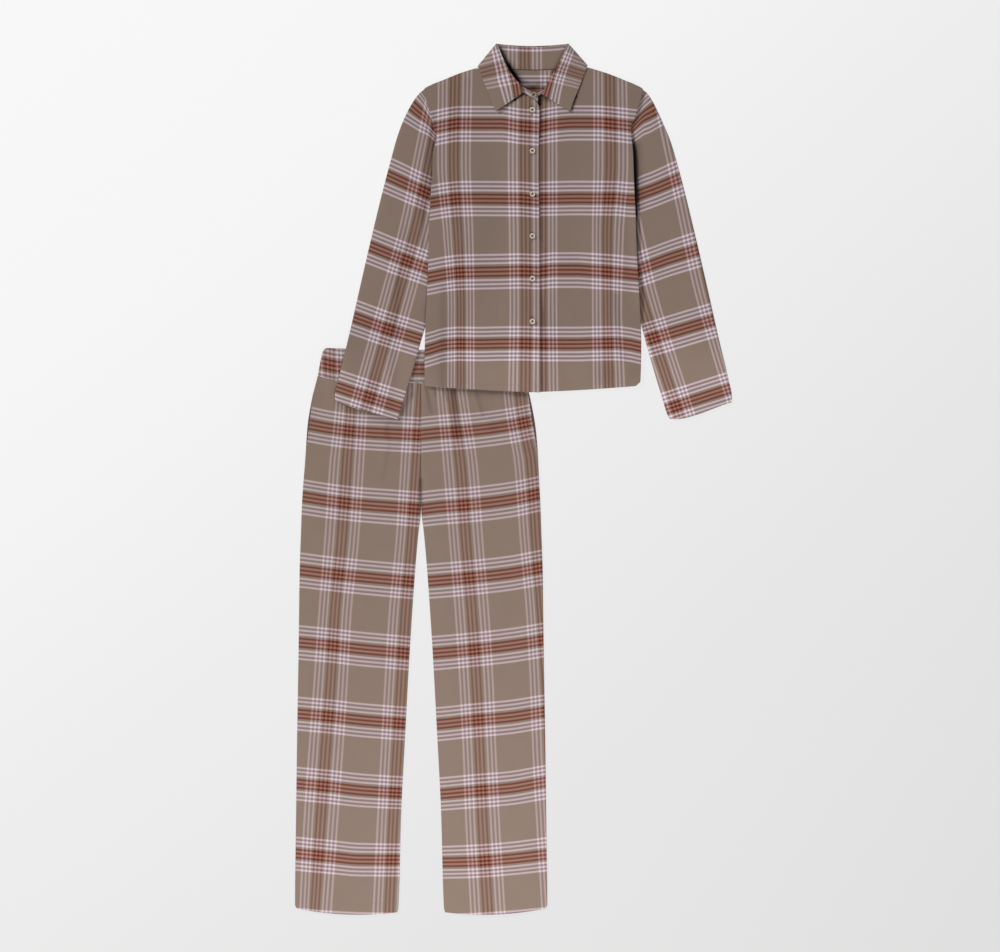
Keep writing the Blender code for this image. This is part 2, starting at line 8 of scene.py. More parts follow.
# %% Load the plain solids
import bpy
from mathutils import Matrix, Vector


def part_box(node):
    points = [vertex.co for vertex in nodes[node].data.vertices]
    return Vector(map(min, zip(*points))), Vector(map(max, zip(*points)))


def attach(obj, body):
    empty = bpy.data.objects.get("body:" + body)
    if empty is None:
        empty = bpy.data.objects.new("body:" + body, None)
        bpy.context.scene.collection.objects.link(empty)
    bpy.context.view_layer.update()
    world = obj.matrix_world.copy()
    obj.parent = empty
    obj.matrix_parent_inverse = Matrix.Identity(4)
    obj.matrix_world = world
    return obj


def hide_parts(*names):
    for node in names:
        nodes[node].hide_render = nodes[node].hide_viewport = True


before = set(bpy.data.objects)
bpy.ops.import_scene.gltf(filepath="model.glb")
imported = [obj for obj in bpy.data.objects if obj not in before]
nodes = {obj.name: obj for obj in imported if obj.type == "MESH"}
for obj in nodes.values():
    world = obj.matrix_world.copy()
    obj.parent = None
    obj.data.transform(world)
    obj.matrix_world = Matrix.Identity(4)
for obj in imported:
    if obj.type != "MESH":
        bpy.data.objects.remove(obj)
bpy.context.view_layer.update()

import math

import bmesh
import bpy
import numpy as np
from mathutils import Matrix, Vector
from mathutils.bvhtree import BVHTree

# %% [markdown]
# ## Camera
# The set is seen from straight above. A long lens from nine metres up shows it without the
# stretch that a near camera gives, and its width of view is chosen first: 1.84 metres.

# %% Camera
MM = 0.001
VIEW_WIDTH = 1.84
VIEW_CENTRE = (-0.0258, 0.0055)
CAMERA_HEIGHT = 9.0
SENSOR = 36.0

camera_data = bpy.data.cameras.new("camera")
camera_data.sensor_width = SENSOR
camera_data.lens = SENSOR * CAMERA_HEIGHT / VIEW_WIDTH
camera_data.clip_end = 50.0
camera = bpy.data.objects.new("camera", camera_data)
camera.location = (*VIEW_CENTRE, CAMERA_HEIGHT)
bpy.context.collection.objects.link(camera)
bpy.context.scene.camera = camera
print("lens", round(camera_data.lens, 1), "mm")

# %% [markdown]
# ## Light and floor
# Cloth laid flat shows its relief only where light comes in low from one side. A broad sun
# from the upper left draws a thin shadow beside each edge, and a pale sky fills the rest. The
# floor is a pale sheet that glows itself, as a light table does, so the garment's shadow on it
# stays faint. Its glow is painted light that darkens towards the lower right.

# %% Light and floor
scene = bpy.context.scene
scene.view_settings.view_transform = "Standard"

world = bpy.data.worlds.new("sky")
world.use_nodes = True
world.node_tree.nodes["Background"].inputs["Color"].default_value = (1.0, 1.0, 1.0, 1)
world.node_tree.nodes["Background"].inputs["Strength"].default_value = 0.31
scene.world = world


def add_light(data, way, location=(0, 0, 0)):
    """A light that shines along `way`."""
    light = bpy.data.objects.new(data.name, data)
    light.location = location
    light.rotation_mode = "QUATERNION"
    light.rotation_quaternion = Vector(way).to_track_quat("-Z", "Y")
    bpy.context.collection.objects.link(light)


sun_data = bpy.data.lights.new("key", "SUN")
sun_data.energy = 2.20
sun_data.angle = math.radians(10)
add_light(sun_data, (0.72, -0.55, -0.55))

fill_data = bpy.data.lights.new("low_softbox", "AREA")
fill_data.shape = "DISK"
fill_data.size = 1.2
fill_data.energy = 53.0
add_light(fill_data, (-0.35, 1.4, -2.0), (0.35, -2.0, 2.0))


def srgb(*values):
    """Linear colour of 0..255 screen values."""
    shares = [value / 255 for value in values]
    return tuple(s / 12.92 if s <= 0.04045 else ((s + 0.055) / 1.055) ** 2.4 for s in shares)


def material_nodes(name):
    """A new material, its node tree and its shader."""
    material = bpy.data.materials.new(name)
    material.use_nodes = True
    tree = material.node_tree
    return material, tree, tree.nodes["Principled BSDF"]


def ramp(tree, source, stops, interpolation="LINEAR"):
    """A colour ramp through (position, colour) stops."""
    node = tree.nodes.new("ShaderNodeValToRGB")
    node.color_ramp.interpolation = interpolation
    elements = node.color_ramp.elements
    elements[0].position, elements[0].color = stops[0][0], (*stops[0][1], 1)
    elements[1].position, elements[1].color = stops[-1][0], (*stops[-1][1], 1)
    for position, colour in stops[1:-1]:
        elements.new(position).color = (*colour, 1)
    tree.links.new(source, node.inputs["Fac"])
    return node.outputs["Color"]


def math_node(tree, operation, *values):
    """A math node whose inputs are numbers or sockets."""
    node = tree.nodes.new("ShaderNodeMath")
    node.operation = operation
    for socket, value in zip(node.inputs, values):
        if isinstance(value, (int, float)):
            socket.default_value = value
        else:
            tree.links.new(value, socket)
    return node.outputs[0]


def separate(tree, vector):
    """The three numbers of a vector, as sockets."""
    split = tree.nodes.new("ShaderNodeSeparateXYZ")
    tree.links.new(vector, split.inputs[0])
    return split.outputs


FLOOR_SIZE, FLOOR_DROP = 20.0, 0.0002
FADE_LENGTH, FADE_TURN = 2.6, 53     # the floor darkens over this length, in this direction

bpy.ops.object.select_all(action="DESELECT")
bpy.ops.mesh.primitive_plane_add(size=FLOOR_SIZE, location=(0, 0, -FLOOR_DROP))
floor = bpy.context.active_object
floor.name = "floor"
paper, tree, shader = material_nodes("pale_paper")
place = tree.nodes.new("ShaderNodeTexCoord")
turned = tree.nodes.new("ShaderNodeMapping")
turned.inputs["Rotation"].default_value = (0, 0, math.radians(FADE_TURN))
turned.inputs["Location"].default_value = (0.5, 0, 0)
turned.inputs["Scale"].default_value = (1 / FADE_LENGTH, 1 / FADE_LENGTH, 1)
tree.links.new(place.outputs["Object"], turned.inputs["Vector"])
# Painted light: the floor's glowing colour darkens towards the lower right, as light falling off would.
tone = ramp(tree, separate(tree, turned.outputs["Vector"])["X"],
            [(0.05, srgb(250, 250, 250)), (0.24, srgb(247, 247, 247)), (0.5, srgb(236, 236, 236)),
             (0.72, srgb(227, 227, 227)), (0.95, srgb(220, 220, 220))])
glow = tree.nodes.new("ShaderNodeEmission")
glow.inputs["Strength"].default_value = 0.925
tree.links.new(tone, glow.inputs["Color"])
matt = tree.nodes.new("ShaderNodeBsdfDiffuse")
matt.inputs["Color"].default_value = (0.06, 0.06, 0.06, 1)
both = tree.nodes.new("ShaderNodeAddShader")
tree.links.new(glow.outputs[0], both.inputs[0])
tree.links.new(matt.outputs[0], both.inputs[1])
tree.links.new(both.outputs[0], tree.nodes["Material Output"].inputs["Surface"])
tree.nodes.remove(shader)
floor.data.materials.append(paper)
print("floor, key light and sky")

# %% [markdown]
# ## The woven check
# A check is woven, not printed: one list of coloured yarns, the sett, is set up along the
# warp and repeated across in the weft. Where a coloured warp crosses the ground the colour
# is half hidden, and where two of the same meet it is full. So the material keeps two
# numbers at each point, how far along the sett the warp and the weft are, looks both up in
# the same sett, and mixes them thread by thread. The two numbers are stored on the mesh as
# an attribute called cloth, since only then does the check follow each cut piece. Its third
# number is a tone of painted shade and painted light: it darkens seams, creases, the cloth
# under edges and the inside of the neck, and lightens a few ridges. Mixing
# square roots of the colours and squaring the result is nearer to how fine threads blend to
# the eye.

# %% Flannel
REPEAT = 131.5           # one repeat of the sett
LINE_PITCH = 7.5         # from one coloured line to the next
LINE_WIDTH = 3.5
LINE_FADE = 0.95         # half of the soft edge of a brushed line
THREAD = 0.62            # from one thread to the next
WEFT_SHARE = 0.60        # the weft lies more on the surface than the warp
WEAVE_CONTRAST = 0.16
NAP_SCALE, CLOUD_SCALE = 900.0, 26.0
# Painted light: the shirt's colour is lighter towards its hem, between these heights.
HEM_LIGHT_FROM, HEM_LIGHT_TO = 0.30, 0.19      # the shirt is lighter towards its hem, in metres of Y

# Square roots of the yarn colours. Between two lines the nap takes a little of their colour.
GROUND = np.array((0.467, 0.397, 0.355))
WEFT_YARNS = {"white": (0.840, 0.770, 0.820), "rust": (0.275, 0.055, 0.020),
              "by white": (0.452, 0.386, 0.396), "by rust": (0.560, 0.366, 0.318)}
WARP_YARNS = {"white": (0.840, 0.750, 0.775), "rust": (0.275, 0.125, 0.080),
              "by white": (0.452, 0.386, 0.396), "by rust": (0.535, 0.388, 0.350)}


def sett_stops(yarns, white_share, rust_share):
    """Half of the sett: shares of it from the middle of a group of lines, and their colours."""
    half = REPEAT / 2
    colour = {"ground": GROUND}
    for name, value in yarns.items():
        share = white_share if "white" in name else rust_share
        colour[name] = GROUND + share * (np.array(value) - GROUND)
    stops = [(0.0, colour["rust"])]
    order = ("rust", "rust", "white", "white", "white")
    between = ("by rust", "ground", "by white", "by white", "ground")
    for line, (yarn, after) in enumerate(zip(order, between)):
        low, high = line * LINE_PITCH - LINE_WIDTH / 2, line * LINE_PITCH + LINE_WIDTH / 2
        if line:
            before = between[line - 1]
            stops += [((low - LINE_FADE) / half, colour[before]),
                      ((low + LINE_FADE) / half, colour[yarn])]
        stops += [((high - LINE_FADE) / half, colour[yarn]),
                  ((high + LINE_FADE) / half, colour[after])]
    return stops


def noise(tree, vector, scale, detail):
    """Cloudy noise over a pattern's coordinates."""
    clouds = tree.nodes.new("ShaderNodeTexNoise")
    clouds.inputs["Scale"].default_value = scale
    clouds.inputs["Detail"].default_value = detail
    tree.links.new(vector, clouds.inputs["Vector"])
    return clouds.outputs["Fac"]


def flannel(name, white_share, rust_share, hem_painted_light=0.0):
    """Brushed check flannel. The shares say how strong its coloured yarns are; the last number is painted
    light that makes it lighter towards the hem.
    """
    material, tree, shader = material_nodes(name)
    cloth = tree.nodes.new("ShaderNodeAttribute")
    cloth.attribute_name = "cloth"
    split = separate(tree, cloth.outputs["Vector"])
    half = REPEAT / 2 * MM
    yarns, threads = [], []
    for axis, colours in (("X", WARP_YARNS), ("Y", WEFT_YARNS)):
        along = math_node(tree, "PINGPONG", split[axis], half)
        stops = sett_stops(colours, white_share, rust_share)
        yarns.append(ramp(tree, math_node(tree, "DIVIDE", along, half), stops))
        turns = math_node(tree, "MULTIPLY", split[axis], math.pi / (THREAD * MM))
        threads.append(math_node(tree, "SINE", turns))
    weave = math_node(tree, "MULTIPLY", *threads)
    share = math_node(tree, "MULTIPLY_ADD", weave, WEAVE_CONTRAST, WEFT_SHARE)
    mixed = tree.nodes.new("ShaderNodeMix")
    mixed.data_type = "RGBA"
    tree.links.new(share, mixed.inputs["Factor"])
    tree.links.new(yarns[0], mixed.inputs["A"])
    tree.links.new(yarns[1], mixed.inputs["B"])
    squared = tree.nodes.new("ShaderNodeGamma")
    squared.inputs["Gamma"].default_value = 2.0
    tree.links.new(mixed.outputs["Result"], squared.inputs["Color"])

    along_threads = tree.nodes.new("ShaderNodeCombineXYZ")
    tree.links.new(split["X"], along_threads.inputs["X"])
    tree.links.new(split["Y"], along_threads.inputs["Y"])
    nap = noise(tree, along_threads.outputs["Vector"], NAP_SCALE, 3.0)
    clouds = noise(tree, along_threads.outputs["Vector"], CLOUD_SCALE, 2.0)
    tone = math_node(tree, "ADD", math_node(tree, "MULTIPLY_ADD", nap, 0.16, 0.92),
                     math_node(tree, "MULTIPLY_ADD", clouds, 0.08, -0.04))
    # Painted light: lighter towards the hem.
    if hem_painted_light:
        place = tree.nodes.new("ShaderNodeTexCoord")
        toward_hem = tree.nodes.new("ShaderNodeMapRange")
        toward_hem.interpolation_type = "SMOOTHSTEP"
        tree.links.new(separate(tree, place.outputs["Object"])["Y"], toward_hem.inputs["Value"])
        for socket, value in (("From Min", HEM_LIGHT_FROM), ("From Max", HEM_LIGHT_TO),
                              ("To Min", 0.0), ("To Max", hem_painted_light)):
            toward_hem.inputs[socket].default_value = value
        tone = math_node(tree, "ADD", tone, toward_hem.outputs["Result"])
    # Painted shade and light: the cloth attribute's third number darkens or lightens the colour.
    tone = math_node(tree, "MULTIPLY", tone, math_node(tree, "ADD", split["Z"], 1.0))
    shaded = tree.nodes.new("ShaderNodeVectorMath")
    shaded.operation = "SCALE"
    tree.links.new(squared.outputs["Color"], shaded.inputs[0])
    tree.links.new(tone, shaded.inputs["Scale"])
    tree.links.new(shaded.outputs[0], shader.inputs["Base Color"])

    height = math_node(tree, "ADD", math_node(tree, "MULTIPLY", weave, 0.35), nap)
    bump = tree.nodes.new("ShaderNodeBump")
    bump.inputs["Strength"].default_value = 0.35
    bump.inputs["Distance"].default_value = 0.0003
    tree.links.new(height, bump.inputs["Height"])
    tree.links.new(bump.outputs["Normal"], shader.inputs["Normal"])
    shader.inputs["Roughness"].default_value = 0.93
    shader.inputs["Specular IOR Level"].default_value = 0.12
    shader.inputs["Sheen Weight"].default_value = 0.06
    shader.inputs["Sheen Roughness"].default_value = 0.6
    return material


SHIRT_FLANNEL = flannel("shirt_flannel", 1.0, 1.0, 0.16)
TROUSER_FLANNEL = flannel("trouser_flannel", 0.84, 0.93)
print("check of", len(sett_stops(WEFT_YARNS, 1, 1)), "stops, repeat", REPEAT, "mm")

# %% [markdown]
# ## Curves and grids
# Every cut piece is drawn from a short table of its outline and filled with a fine grid of
# points. A curve that never overshoots its table keeps the outline calm, and grid lines lie
# closer together along the edges, where the cloth turns over.

# %% Curves and grids
STEP = 4.5               # grid spacing
EDGE_STEPS = (0.7, 2.2)  # two finer steps at every edge
SKEW = 27 / 4            # makes u * (1 - u) ** 2 reach 1 at its highest


def spaced(total, step=STEP):
    """Distances from 0 to total, closer together at both ends."""
    near, far = EDGE_STEPS
    inner = np.linspace(far, total - far, max(2, round((total - 2 * far) / step)) + 1)
    return np.concatenate(([0.0, near], inner, [total - near, total]))


def shares(total, step=STEP):
    """The same distances as shares of the whole, 0 to 1."""
    return spaced(total, step) / total


def finer_at_end(total, step, fine_step, fine_length):
    """Distances from 0 to total, in fine steps over the last `fine_length`."""
    coarse = spaced(total, step)
    start = total - fine_length
    fine = np.linspace(start, total - EDGE_STEPS[1], round(fine_length / fine_step))
    return np.concatenate((coarse[coarse < start - fine_step], fine, coarse[-2:]))


def curve_through(knots, data, at):
    """Values at `at` of smooth curves through the rows of `data`, straight beyond both ends."""
    knots, data = np.asarray(knots, float), np.asarray(data, float)
    rise = np.diff(data, axis=0) / np.diff(knots)[:, None]
    slope = np.zeros_like(data)
    before, after = rise[:-1], rise[1:]
    same_way = before * after > 0
    slope[1:-1][same_way] = (2 * before * after)[same_way] / (before + after)[same_way]
    slope[0], slope[-1] = rise[0], rise[-1]
    inside = np.clip(at, knots[0], knots[-1])
    index = np.clip(np.searchsorted(knots, inside, side="right") - 1, 0, len(knots) - 2)
    span = np.diff(knots)[index][..., None]
    t = (inside - knots[index])[..., None] / span
    value = ((1 + 2 * t) * (1 - t) ** 2 * data[index] + t * (1 - t) ** 2 * span * slope[index]
             + t * t * (3 - 2 * t) * data[index + 1] - t * t * (1 - t) * span * slope[index + 1])
    beyond = (at - inside)[..., None]
    return value + beyond * np.where(beyond < 0, slope[0], slope[-1])


def rows_along(table, step=STEP, fine_step=None, fine_length=0.0):
    """Fine rows through a table's rows. Its first two columns place the curve."""
    data = np.array(table, float)
    knots = np.concatenate(([0.0], np.cumsum(np.linalg.norm(np.diff(data[:, :2], axis=0), axis=1))))
    at = finer_at_end(knots[-1], step, fine_step, fine_length) if fine_step else spaced(knots[-1], step)
    return curve_through(knots, data, at)


def grid_between(first, second, sag, across, dip=0.0):
    """Plan points on rows from `first` to `second` (n x 2 arrays). Rows hang in the middle
    by `sag`, and by `dip` nearer their first end."""
    u = np.asarray(across)[None, :, None]
    plan = first[:, None, :] * (1 - u) + second[:, None, :] * u
    u = u[:, :, 0]
    plan[:, :, 1] -= np.reshape(sag, (-1, 1)) * 4 * u * (1 - u)
    plan[:, :, 1] -= np.reshape(dip, (-1, 1)) * SKEW * u * (1 - u) ** 2
    return plan


print("a 1 metre row gets", len(spaced(1000.0)), "points")

# %% [markdown]
# ## Where the check runs
# A cut piece carries its threads with it, and laid cloth bows them a little. So for each
# piece a small table says where the middle of each group of lines crosses a few stations,
# and the cloth coordinate of any point is read off between two neighbouring lines.

# %% Cloth coordinates
WHITES = 22.5            # from the middle of a group of lines to its middle white line


def at_stations(stations, *rows):
    """Stripes from rows of (number, where it crosses each station)."""
    return [(row[0] * REPEAT, stations, row[1:]) for row in rows]


def lines_at(stations, *rows):
    """Stripes from rows of (millimetres along the sett, where it crosses each station)."""
    return [(row[0], stations, row[1:]) for row in rows]


def groups(stations, *rows):
    """Three stripes from each row of (number, below, above, where it crosses each station). The
    last two are how far the white lines lie from the middle, where the sett has 22.5."""
    stripes = []
    for number, below, above, *places in rows:
        for white, distance in ((-WHITES, -below), (0, 0), (WHITES, above)):
            stripes.append((number * REPEAT + white, stations, [place + distance for place in places]))
    return stripes


def through_points(swap, *rows):
    """Stripes from rows of (number, (x, y), (x, y), ...)."""
    stripes = []
    for number, *points in rows:
        points = sorted((y, x) if swap else (x, y) for x, y in points)
        stripes.append((number * REPEAT, [p[0] for p in points], [p[1] for p in points]))
    return stripes


def follow(plan, along, stripes):
    """Cloth coordinate of plan points, from stripes that run along X (0) or along Y (1)."""
    offsets = [plan[..., 1 - along]
               - curve_through(stations, np.array(places)[:, None], plan[..., along])[..., 0]
               for _, stations, places in stripes]
    value = stripes[0][0] + offsets[0]
    for lower, upper, below, above in zip(stripes, stripes[1:], offsets, offsets[1:]):
        share = below / (below - above)
        value = np.where(below >= 0, lower[0] + (upper[0] - lower[0]) * share, value)
    return np.where(offsets[-1] >= 0, stripes[-1][0] + offsets[-1], value)


def cloth_at(plan, warp, weft, tone=0.0):
    """Warp and weft coordinates of plan points, and their tone: painted shade below 0, painted light above 0.
    """
    return np.stack((follow(plan, 1, warp), follow(plan, 0, weft), tone + 0 * plan[..., 0]), axis=-1)


def soft_lines(plan, lines):
    """A sum of soft lines. Each is its points, its amount and its half width."""
    total = np.zeros(plan.shape[:2])
    for points, amount, half_width in lines:
        nearest = np.full(plan.shape[:2], np.inf)
        for start, end in zip(np.array(points, float), np.array(points[1:], float)):
            way = end - start
            along = np.clip((plan - start) @ way / (way @ way), 0, 1)
            nearest = np.minimum(nearest, np.linalg.norm(plan - start - along[..., None] * way, axis=-1))
        total += amount * np.exp(-(nearest / half_width) ** 2)
    return total


# %% [markdown]
# ## Heights
# The plain solids already lie on each other, so a fine piece takes its height from the solid
# it stands for: a ray goes straight down at each grid point, and the heights are smoothed
# until the solid's flat facets are gone. A slow ripple is added, because pressed cloth is
# never quite level.

# %% Heights
def tree_of(obj):
    """A search tree over an object's faces, in millimetres."""
    points = [vertex.co / MM for vertex in obj.data.vertices]
    return BVHTree.FromPolygons(points, [tuple(face.vertices) for face in obj.data.polygons])


def filled(height):
    """Fill in unknown heights from their known neighbours."""
    while np.isnan(height).any():
        wide = np.pad(height, 1, constant_values=np.nan)
        around = np.stack((wide[:-2, 1:-1], wide[2:, 1:-1], wide[1:-1, :-2], wide[1:-1, 2:]))
        known = ~np.isnan(around)
        mean = np.where(known, around, 0).sum(axis=0) / np.maximum(known.sum(axis=0), 1)
        height = np.where(np.isnan(height) & known.any(axis=0), mean, height)
    return height


def seen_height(tree, plan, down=True):
    """Height of a surface at plan points, seen from above or from below."""
    height = np.full(plan.shape[:2], np.nan)
    start, way = (80.0, Vector((0, 0, -1))) if down else (-40.0, Vector((0, 0, 1)))
    for index in np.ndindex(height.shape):
        hit = tree.ray_cast(Vector((*plan[index], start)), way)[0]
        if hit is not None:
            height[index] = hit.z
    return filled(height)


def smoothed(height, passes):
    """Heights averaged with their neighbours, `passes` times over."""
    for _ in range(passes):
        wide = np.pad(height, 1, mode="edge")
        height = (wide[1:-1, :-2] + 2 * wide[1:-1, 1:-1] + wide[1:-1, 2:]) / 4
        wide = np.pad(height, 1, mode="edge")
        height = (wide[:-2, 1:-1] + 2 * wide[1:-1, 1:-1] + wide[2:, 1:-1]) / 4
    return height


def ripple(plan, depth):
    """A slow, uneven ripple of pressed cloth."""
    x, y = plan[..., 0] / 100, plan[..., 1] / 100
    wave = (np.sin(2.1 * x + 0.9 * y + 1.3) + np.sin(-1.2 * x + 2.3 * y + 0.4)
            + 0.7 * np.sin(4.1 * x - 1.7 * y + 2.2) + 0.6 * np.sin(1.5 * x + 4.6 * y))
    return depth * wave / 3.3


def toward_edge(plan):
    """Distance of each grid point from the nearest side of its grid."""
    distances = []
    for axis in (0, 1):
        length = np.linalg.norm(np.diff(plan, axis=axis), axis=2)
        zero = np.zeros_like(np.take(length, [0], axis=axis))
        run = np.concatenate((zero, np.cumsum(length, axis=axis)), axis=axis)
        total = np.take(run, [-1], axis=axis)
        distances += [run, total - run]
    return distances


print("solid heights are read by ray")

# %% [markdown]
# ## One wall of cloth
# A piece of cloth is a closed wall: an upper and a lower grid of points, joined round the
# rim. The rim's points come together a little, so an edge looks folded and not sawn. Every
# point also carries its cloth coordinates.

# %% A wall of cloth
RIM = 0.32               # share of the wall that each skin gives up at the rim
WALL = 1.2


def outward(mesh):
    """Turn all faces of a closed mesh outwards."""
    work = bmesh.new()
    work.from_mesh(mesh)
    bmesh.ops.recalc_face_normals(work, faces=work.faces)
    work.to_mesh(mesh)
    work.free()


def add_piece(name, points, faces, material, coordinates=None):
    """A mesh object from points in millimetres, with cloth coordinates if it has any."""
    mesh = bpy.data.meshes.new(name)
    mesh.from_pydata((np.asarray(points) * MM).tolist(), [], faces)
    if coordinates is not None:
        layer = mesh.attributes.new("cloth", "FLOAT_VECTOR", "POINT")
        layer.data.foreach_set("vector", (coordinates * (MM, MM, 1)).astype(np.float32).ravel())
    outward(mesh)
    mesh.shade_smooth()
    mesh.materials.append(material)
    obj = bpy.data.objects.new(name, mesh)
    bpy.context.collection.objects.link(obj)
    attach(obj, "root")
    return obj


def grid_faces(rows, columns, offset=0):
    """The four-sided faces between a grid's points."""
    index = np.arange(rows * columns).reshape(rows, columns) + offset
    return np.stack((index[:-1, :-1], index[:-1, 1:], index[1:, 1:], index[1:, :-1]),
                    axis=-1).reshape(-1, 4)


def wall(name, upper, lower, coordinates, stands_for, material):
    """Closed cloth between two grids of points, which stands for the named solids."""
    rows, columns = upper.shape[:2]
    rim = np.zeros((rows, columns), bool)
    rim[[0, -1]] = rim[:, [0, -1]] = True
    give = (upper - lower)[rim] * RIM
    upper, lower = upper.copy(), lower.copy()
    upper[rim] -= give
    lower[rim] += give
    count = rows * columns
    index = np.arange(count).reshape(rows, columns)
    loop = np.concatenate((index[0, :-1], index[:-1, -1], index[-1, :0:-1], index[:0:-1, 0]))
    after = np.roll(loop, -1)
    faces = np.concatenate((grid_faces(rows, columns), grid_faces(rows, columns, count),
                            np.stack((loop, after, after + count, loop + count), axis=1)))
    points = np.concatenate((upper.reshape(-1, 3), lower.reshape(-1, 3)))
    obj = add_piece(name, points, faces.tolist(), material, np.tile(coordinates.reshape(-1, 3), (2, 1)))
    if stands_for:
        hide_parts(*stands_for)
    print(name, len(faces), "faces")
    return obj


def with_height(plan, height):
    """Points in space from plan points and their heights."""
    return np.concatenate((plan, height[..., None]), axis=-1)


# %% [markdown]
# ## Trousers
# Each leg is a back and a front, joined along both sides. The back lies flat. The front
# stands off it a little in the middle, and below the waistband it keeps the ends of the
# gathers as soft folds. The edge of the pocket's mouth falls back so that the facing shows.

# %% Trousers: outline and check
RIGHT, LEFT = -1, 1
SIDE_NAMES = {RIGHT: "right", LEFT: "left"}
TROUSER_AXIS = -170.8
# outer, outer_y, inner, inner_y, sag, dip: reaches from the centre seam
LEG = (
    (229, -790, 44, -797, 7.5, 0), (232, -784, 42, -790, 7, 0), (230, -610, 36.5, -610, 2, 0),
    (228, -463, 29, -463, 0, 0), (225.5, -316, 21, -316, 0, 0), (223.5, -168, 11, -168, 0, 0),
    (221, -95, 4.5, -95, 0, 0), (220, -62, 0.4, -62, 0, 0), (219, -40, 0.03, -42, 0, 0),
    (215.5, 16, 0.03, 14, 0, 0), (210.5, 90, 0.03, 86, 0, 0), (201.5, 145, 0.03, 135, 0, 2),
    (190, 190, 0.03, 175.5, 0, 8),
)
CROTCH = -50.0
LEG_WEFT = {
    RIGHT: at_stations((-386.4, -338.6, -283.4, -209.8, -182.2),
                       (0, -821.6, -825.4, -827.3, -828.6, -828.4),
                       (1, -690.2, -694.8, -700.0, -700.3, -700.3),
                       (2, -561.6, -566.2, -572.6, -577.4, -578.7),
                       (3, -432.8, -437.0, -443.3, -449.3, -451.4),
                       (4, -301.8, -306.2, -312.6, -319.2, -322.0),
                       (5, -168.7, -174.4, -180.3, -187.1, -189.5),
                       (6, -33.1, -40.5, -47.1, -52.8, -55.2),
                       (7, 101.2, 92.9, 86.5, 82.4, 81.1), (7.171, 126.1, 116.0, 109.1, 106.1, 104.7)),
    LEFT: at_stations((-158.2, -136.2, -81.0, -7.4, 44.2),
                      (0, -828.5, -829.3, -828.2, -823.9, -819.3),
                      (1, -705.5, -705.3, -704.0, -698.6, -692.9),
                      (2, -581.4, -580.0, -574.8, -568.6, -559.5),
                      (3, -452.3, -450.8, -444.7, -437.9, -430.0),
                      (4, -321.3, -319.6, -314.6, -306.2, -298.1),
                      (5, -188.4, -186.8, -181.8, -173.5, -164.1),
                      (6, -54.3, -51.7, -47.3, -38.3, -27.6),
                      (7, 82.8, 84.8, 88.7, 97.9, 108.0), (7.171, 106.1, 108.3, 111.7, 120.8, 130.8)),
}
LEG_STATIONS = (-756.2, -636.6, -507.8, -375.4, -244.7, -112.2, 22.1, 145.4)
LEG_WARP = {
    RIGHT: at_stations(LEG_STATIONS,
                       (-0.171, -384.2, -378.5, -369.7, -359.7, -350.7, -339.9, -330.9, -319.6),
                       (0, -364.3, -356.4, -347.2, -337.2, -329.4, -317.0, -308.0, -300.6),
                       (0.171, -342.4, -333.5, -323.9, -314.9, -307.7, -294.2, -285.2, -278.5),
                       (0.829, -248.5, -243.0, -236.5, -229.3, -221.2, -208.6, -200.2, -192.5),
                       (1, -228.2, -223.0, -215.5, -207.4, -199.5, -188.8, -179.6, -171.8)),
    LEFT: at_stations(LEG_STATIONS,
                      (-0.171, -73.6, -80.2, -84.9, -91.5, -99.8, -110.4, -121.0, -132.1),
                      (0, -50.5, -57.6, -63.1, -69.2, -77.8, -88.6, -97.8, -113.5),
                      (0.171, -27.2, -34.6, -41.0, -46.5, -54.8, -65.7, -75.6, -93.4),
                      (0.829, 57.0, 50.0, 42.9, 38.1, 31.0, 19.6, 9.9, -7.8),
                      (1, 77.3, 71.0, 66.0, 59.8, 49.8, 40.1, 32.1, 14.0)),
}
SEAM = 0.3
LEG_SPAN = 200.0         # about how wide a leg is, for its columns
POCKET_TOP, POCKET_END = 158.0, 44.0
POCKET_WALL = 1.0
POCKET_WIDTH = 16.0
MOUTH_GAP = {RIGHT: 3.0, LEFT: 4.0}
HIP_LEAN = 1.1           # both side seams swing this much to the left around the hip


def leg_outer(rows, side, inset=0.0):
    """The side edge of a leg."""
    lean = HIP_LEAN * np.exp(-((rows[:, 1] - 50) / 50) ** 2)
    return np.stack((TROUSER_AXIS + side * (rows[:, 0] - inset) + lean, rows[:, 1]), axis=1)


def leg_grid(side, step=STEP, column_step=None):
    """Plan points of one leg, from its side edge inwards."""
    rows = rows_along(LEG, step)
    outer = leg_outer(rows, side)
    inner = np.stack((TROUSER_AXIS + side * rows[:, 2], rows[:, 3]), axis=1)
    across = shares(LEG_SPAN, column_step or step)
    return grid_between(outer, inner, rows[:, 4], across, rows[:, 5])


# %% Trousers: backs
for side in (RIGHT, LEFT):
    plan = leg_grid(side, 8.0)
    lower = with_height(plan, np.zeros(plan.shape[:2]))
    upper = with_height(plan, np.full(plan.shape[:2], WALL))
    name = "trousers_back_" + SIDE_NAMES[side]
    back = wall(name + "_cloth", upper, lower, cloth_at(plan, LEG_WARP[side], LEG_WEFT[side]), [name],
                TROUSER_FLANNEL)

